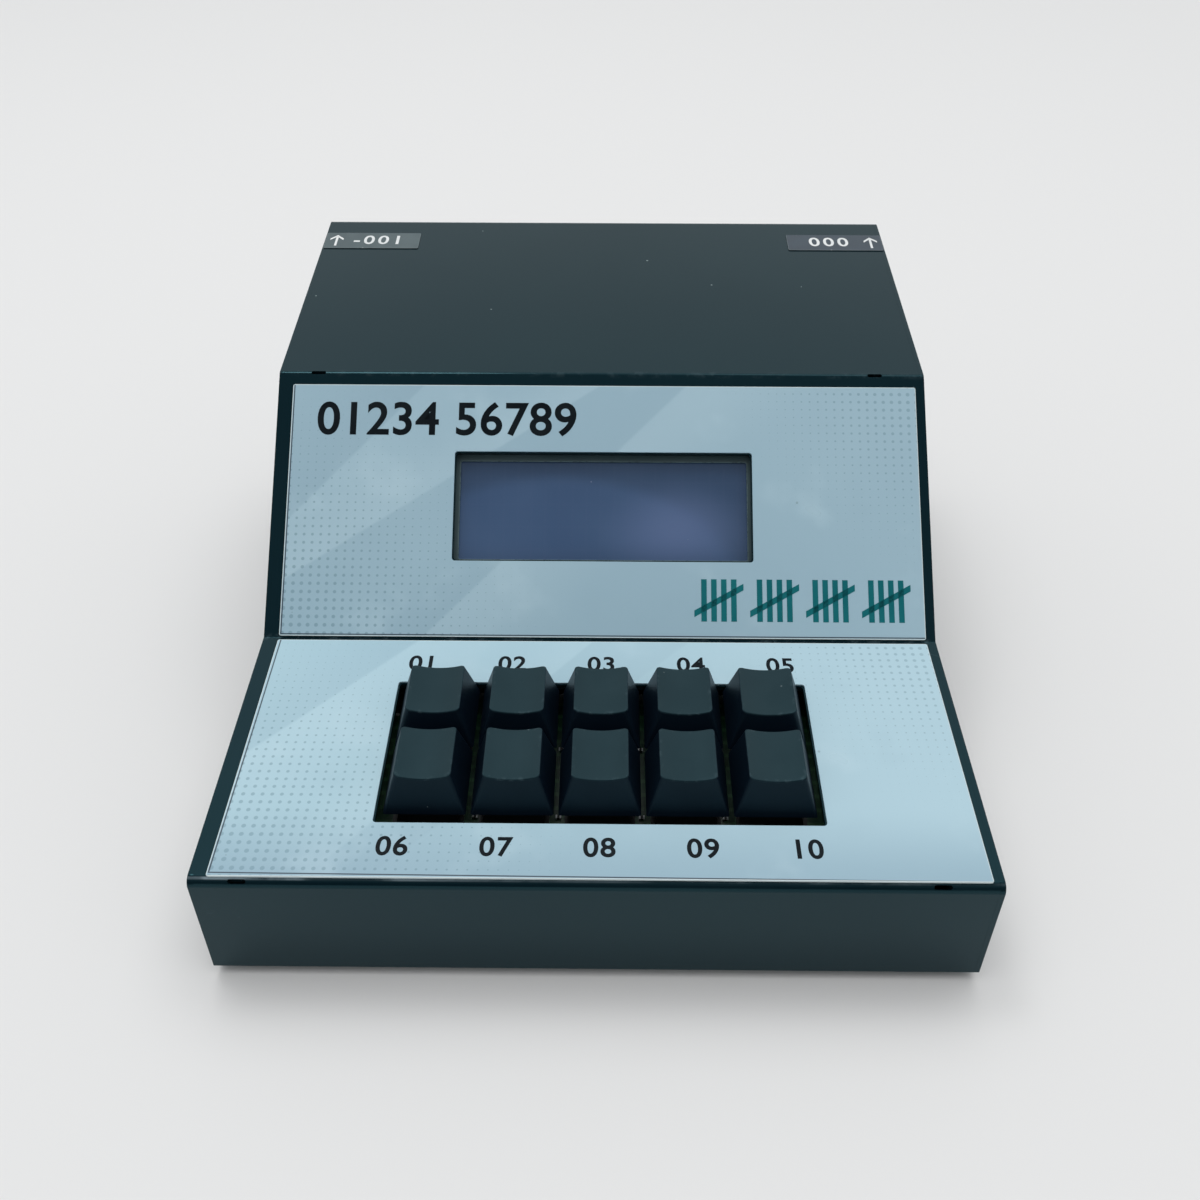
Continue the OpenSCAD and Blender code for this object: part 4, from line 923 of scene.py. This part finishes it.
def printed_text(name, words, panel, place, height, lift, material, bold, spacing, slot="printed_sheet"):
    """Characters as a thin layer of ink on a panel; place is across and up the panel, in metres."""
    curve = bpy.data.curves.new(name, "FONT")
    curve.body = words
    curve.size = height / DIGIT_SHARE
    curve.align_x = "CENTER"
    curve.align_y = "CENTER"
    curve.offset = bold
    curve.space_character = spacing
    curve.extrude = 0.01 * MM
    curve.resolution_u = 6
    mesh = plain_mesh(in_scene(name, curve))
    mesh.transform(panel @ Matrix.Translation((*place, lift)))
    as_piece(name, mesh, material, "case", slot)


def flat_shape(name, outlines, panel, place, lift, material, slot="printed_sheet", body="case"):
    """Ink shapes from outlines in metres, as thin closed plates on a panel; many join where they meet."""
    work = bmesh.new()
    for outline in outlines:
        work.faces.new([work.verts.new(Vector((x, y, 0))) for x, y in outline])
    if len(outlines) > 8:
        bmesh.ops.remove_doubles(work, verts=work.verts, dist=0.001 * MM)
    top = bmesh.ops.extrude_face_region(work, geom=list(work.faces), use_keep_orig=True)["geom"]
    bmesh.ops.translate(work, verts=[v for v in top if isinstance(v, bmesh.types.BMVert)],
                        vec=(0, 0, 0.02 * MM))
    bmesh.ops.recalc_face_normals(work, faces=work.faces)
    mesh = worked_mesh(name, work)
    mesh.transform(panel @ Matrix.Translation((*place, lift)))
    as_piece(name, mesh, material, body, slot)


SHEET_FACE = box_on(DISPLAY, "display_overlay")[1].z + INK_LIFT
DECK_FACE = box_on(DECK, "key_overlay")[1].z + INK_LIFT
LABEL_LOW, LABEL_HIGH = box_on(TOP, "rear_labels")
LABEL_FACE = LABEL_HIGH.z + INK_LIFT

# Places across and up the panels
TITLE_PLACE = (-39.8 * MM, 56.9 * MM)
TALLY_PLACE = (25.6 * MM, 4.7 * MM)
KEY_NUMBER_PITCH = 21.8 * MM
KEY_NUMBER_MIDDLE = 0.7 * MM
KEY_NUMBER_BACK = 62.4 * MM
KEY_NUMBER_FRONT = 8.7 * MM


def tally_outlines(groups, height, gap, stroke):
    """Groups of four upright strokes, each crossed by a fifth that climbs from low to high."""
    outlines = []
    reach = 3 * gap
    low, high = 0.18 * height, 0.82 * height
    rise = stroke / 2 / cos(0.6)
    for g in range(groups):
        left = g * (reach + 2.6 * gap)
        for i in range(4):
            x = left + i * gap
            outlines.append([(x, 0), (x + stroke, 0), (x + stroke, height), (x, height)])
        start = left - 0.7 * gap
        end = left + reach + stroke + 0.7 * gap
        outlines.append([(start, low - rise), (end, high - rise), (end, high + rise), (start, low + rise)])
    return outlines


printed_text("title_numerals", "01234 56789", DISPLAY, TITLE_PLACE, 9 * MM, SHEET_FACE, INK_BLACK,
             0.2 * MM, 1.04)
flat_shape("tally_mark", tally_outlines(4, 10.8 * MM, 2.5 * MM, 1.4 * MM), DISPLAY, TALLY_PLACE,
           SHEET_FACE, INK_TEAL)
for key in KEYS:
    column = (key - 1) % KEY_COLUMNS
    x = KEY_NUMBER_MIDDLE + (column - (KEY_COLUMNS - 1) / 2) * KEY_NUMBER_PITCH
    y = KEY_NUMBER_BACK if key <= KEY_COLUMNS else KEY_NUMBER_FRONT
    printed_text(f"key_number_{key}", f"{key:02d}", DECK, (x, y), 4.9 * MM, DECK_FACE, INK_BLACK,
                 0.13 * MM, 1.08)


def arrow_outlines(height, head, stroke):
    """An upright arrow with an open head, from three bars."""
    half = stroke / 2
    bars = [[(-half, 0), (half, 0), (half, height - stroke), (-half, height - stroke)]]
    for side in (-1, 1):
        thick = 1.4 * stroke
        tip = [(0, height), (side * head, height - head), (side * head, height - head - thick),
               (0, height - thick)]
        bars.append(tip if side < 0 else tip[::-1])
    return bars


def ring_band(radius, stroke):
    """The corners of a flat ring as a row of four-sided plates."""
    plates = []
    steps = 32
    inner = radius - stroke
    for i in range(steps):
        a, b = 2 * pi * i / steps, 2 * pi * (i + 1) / steps
        plates.append([(inner * cos(a), inner * sin(a)), (radius * cos(a), radius * sin(a)),
                       (radius * cos(b), radius * sin(b)), (inner * cos(b), inner * sin(b))])
    return plates


MARK_HALF = 1.5 * MM
BAR_HALF = 0.25 * MM
bar = [[(-BAR_HALF, -MARK_HALF), (BAR_HALF, -MARK_HALF), (BAR_HALF, MARK_HALF), (-BAR_HALF, MARK_HALF)]]
for name, outlines, side in (("on", bar, 1), ("off", ring_band(MARK_HALF, 0.45 * MM), -1)):
    flat_shape(f"rocker_mark_{name}", outlines, rocker_half(side), (0, side * ROCKER_MARK), 0.01 * MM,
               INK_WHITE, "switch_plastic", "power_rocker")

# The arrow and the digits stand in from the outer end of each label
ARROW_IN = 3.4 * MM
ARROW_DOWN = 3.2 * MM
DIGITS_IN = 16 * MM
label_middle = (LABEL_LOW.y + LABEL_HIGH.y) / 2
for side, name, digits in ((-1, "minus_001", "-001"), (1, "000", "000")):
    flat_shape(f"label_arrow_{name}", arrow_outlines(6.2 * MM, 2.0 * MM, 0.7 * MM), TOP,
               (side * (LABEL_HIGH.x - ARROW_IN), label_middle - ARROW_DOWN), LABEL_FACE, INK_WHITE, "label")
    printed_text(f"label_digits_{name}", digits, TOP, (side * (LABEL_HIGH.x - DIGITS_IN), label_middle),
                 5.0 * MM, LABEL_FACE, INK_WHITE, 0.1 * MM, 1.25, "label")


# ---- Floor, light and camera ----
STUDIO_GREY = (0.80, 0.80, 0.80, 1)


def pale_floor():
    bpy.ops.mesh.primitive_plane_add(size=8.0, location=(0, 1.5, 0))
    floor = bpy.context.active_object
    floor.name = "floor"
    paint = new_finish("floor_paint", Roughness=0.9, Specular_IOR_Level=0.0, Base_Color=STUDIO_GREY)[0]
    floor.data.materials.append(paint)


def lamp(name, kind, place, aim, energy, seen_in_gloss=True, **settings):
    data = bpy.data.lights.new(name, kind)
    data.energy = energy
    for key, value in settings.items():
        setattr(data, key, value)
    made = in_scene(name, data)
    made.location = place
    made.rotation_euler = (Vector(aim) - Vector(place)).to_track_quat("-Z", "Y").to_euler()
    made.visible_glossy = seen_in_gloss


def room_light():
    """Even room light; what shines back in gloss is a pale ceiling behind and a darker room in front."""
    world = bpy.data.worlds.new("studio")
    world.use_nodes = True
    tree = world.node_tree
    even = tree.nodes["Background"]
    even.inputs["Color"].default_value = (0.97, 0.99, 1.0, 1)
    even.inputs["Strength"].default_value = 0.45
    x, y, z = parts_of(tree, node(tree, "ShaderNodeTexCoord").outputs["Generated"])
    height = maths(tree, "ARCTAN2", z, times(tree, y, -1.0))
    ceiling = between(tree, height, radians(82), radians(116), 0.0, 0.75)
    ceiling = times(tree, ceiling, between(tree, height, radians(120), radians(145), 1.0, 0.74))
    wall = between(tree, height, radians(25), radians(55), 0.02, 0.24)
    shine = node(tree, "ShaderNodeBackground", {
        "Color": (0.96, 0.99, 1.0, 1), "Strength": maths(tree, "ADD", ceiling, wall)})
    seen = node(tree, "ShaderNodeBackground", {"Color": STUDIO_GREY, "Strength": 1.0})
    rays = node(tree, "ShaderNodeLightPath")
    glossy = node(tree, "ShaderNodeMixShader", {0: rays.outputs["Is Glossy Ray"], 1: even.outputs[0],
                                                2: shine.outputs[0]})
    final = node(tree, "ShaderNodeMixShader", {0: rays.outputs["Is Camera Ray"], 1: glossy.outputs[0],
                                               2: seen.outputs[0]})
    tree.links.new(final.outputs[0], tree.nodes["World Output"].inputs["Surface"])
    bpy.context.scene.world = world


def studio_light():
    room_light()
    lamp("overhead", "SUN", (0, 0.12, 2.0), (0, 0, 0), 1.47, seen_in_gloss=False, angle=radians(70))
    lamp("fold_light_left", "AREA", (-0.30, 0.28, 1.3), (0, 0, 0.05), 1.6, shape="ELLIPSE",
         size=0.42, size_y=0.26)
    lamp("fold_light_right", "AREA", (0.32, 0.28, 1.3), (0, 0, 0.05), 0.5, shape="ELLIPSE",
         size=0.70, size_y=0.26)


def photo_camera():
    """The photograph's viewpoint, from a fit to the corners and folds of the case."""
    yaw, pitch, roll = radians(-0.4803), radians(37.702), radians(-0.1014)
    place = Vector((2.077 * MM, Y_FRONT - 150.584 * MM, Z_BASE + 218.864 * MM))
    forward = Vector((sin(yaw) * cos(pitch), cos(yaw) * cos(pitch), -sin(pitch)))
    right = Vector((cos(yaw), -sin(yaw), 0))
    down = forward.cross(right)
    right, down = cos(roll) * right + sin(roll) * down, -sin(roll) * right + cos(roll) * down
    data = bpy.data.cameras.new("photo_camera")
    data.sensor_width = 36
    data.lens = 34.548
    data.clip_start = 0.01
    camera = in_scene("photo_camera", data)
    turn = Matrix((right, -down, -forward)).transposed()
    camera.matrix_world = Matrix.Translation(place) @ turn.to_4x4()
    bpy.context.scene.camera = camera


pale_floor()
studio_light()
photo_camera()
bpy.context.scene.view_settings.view_transform = "Standard"
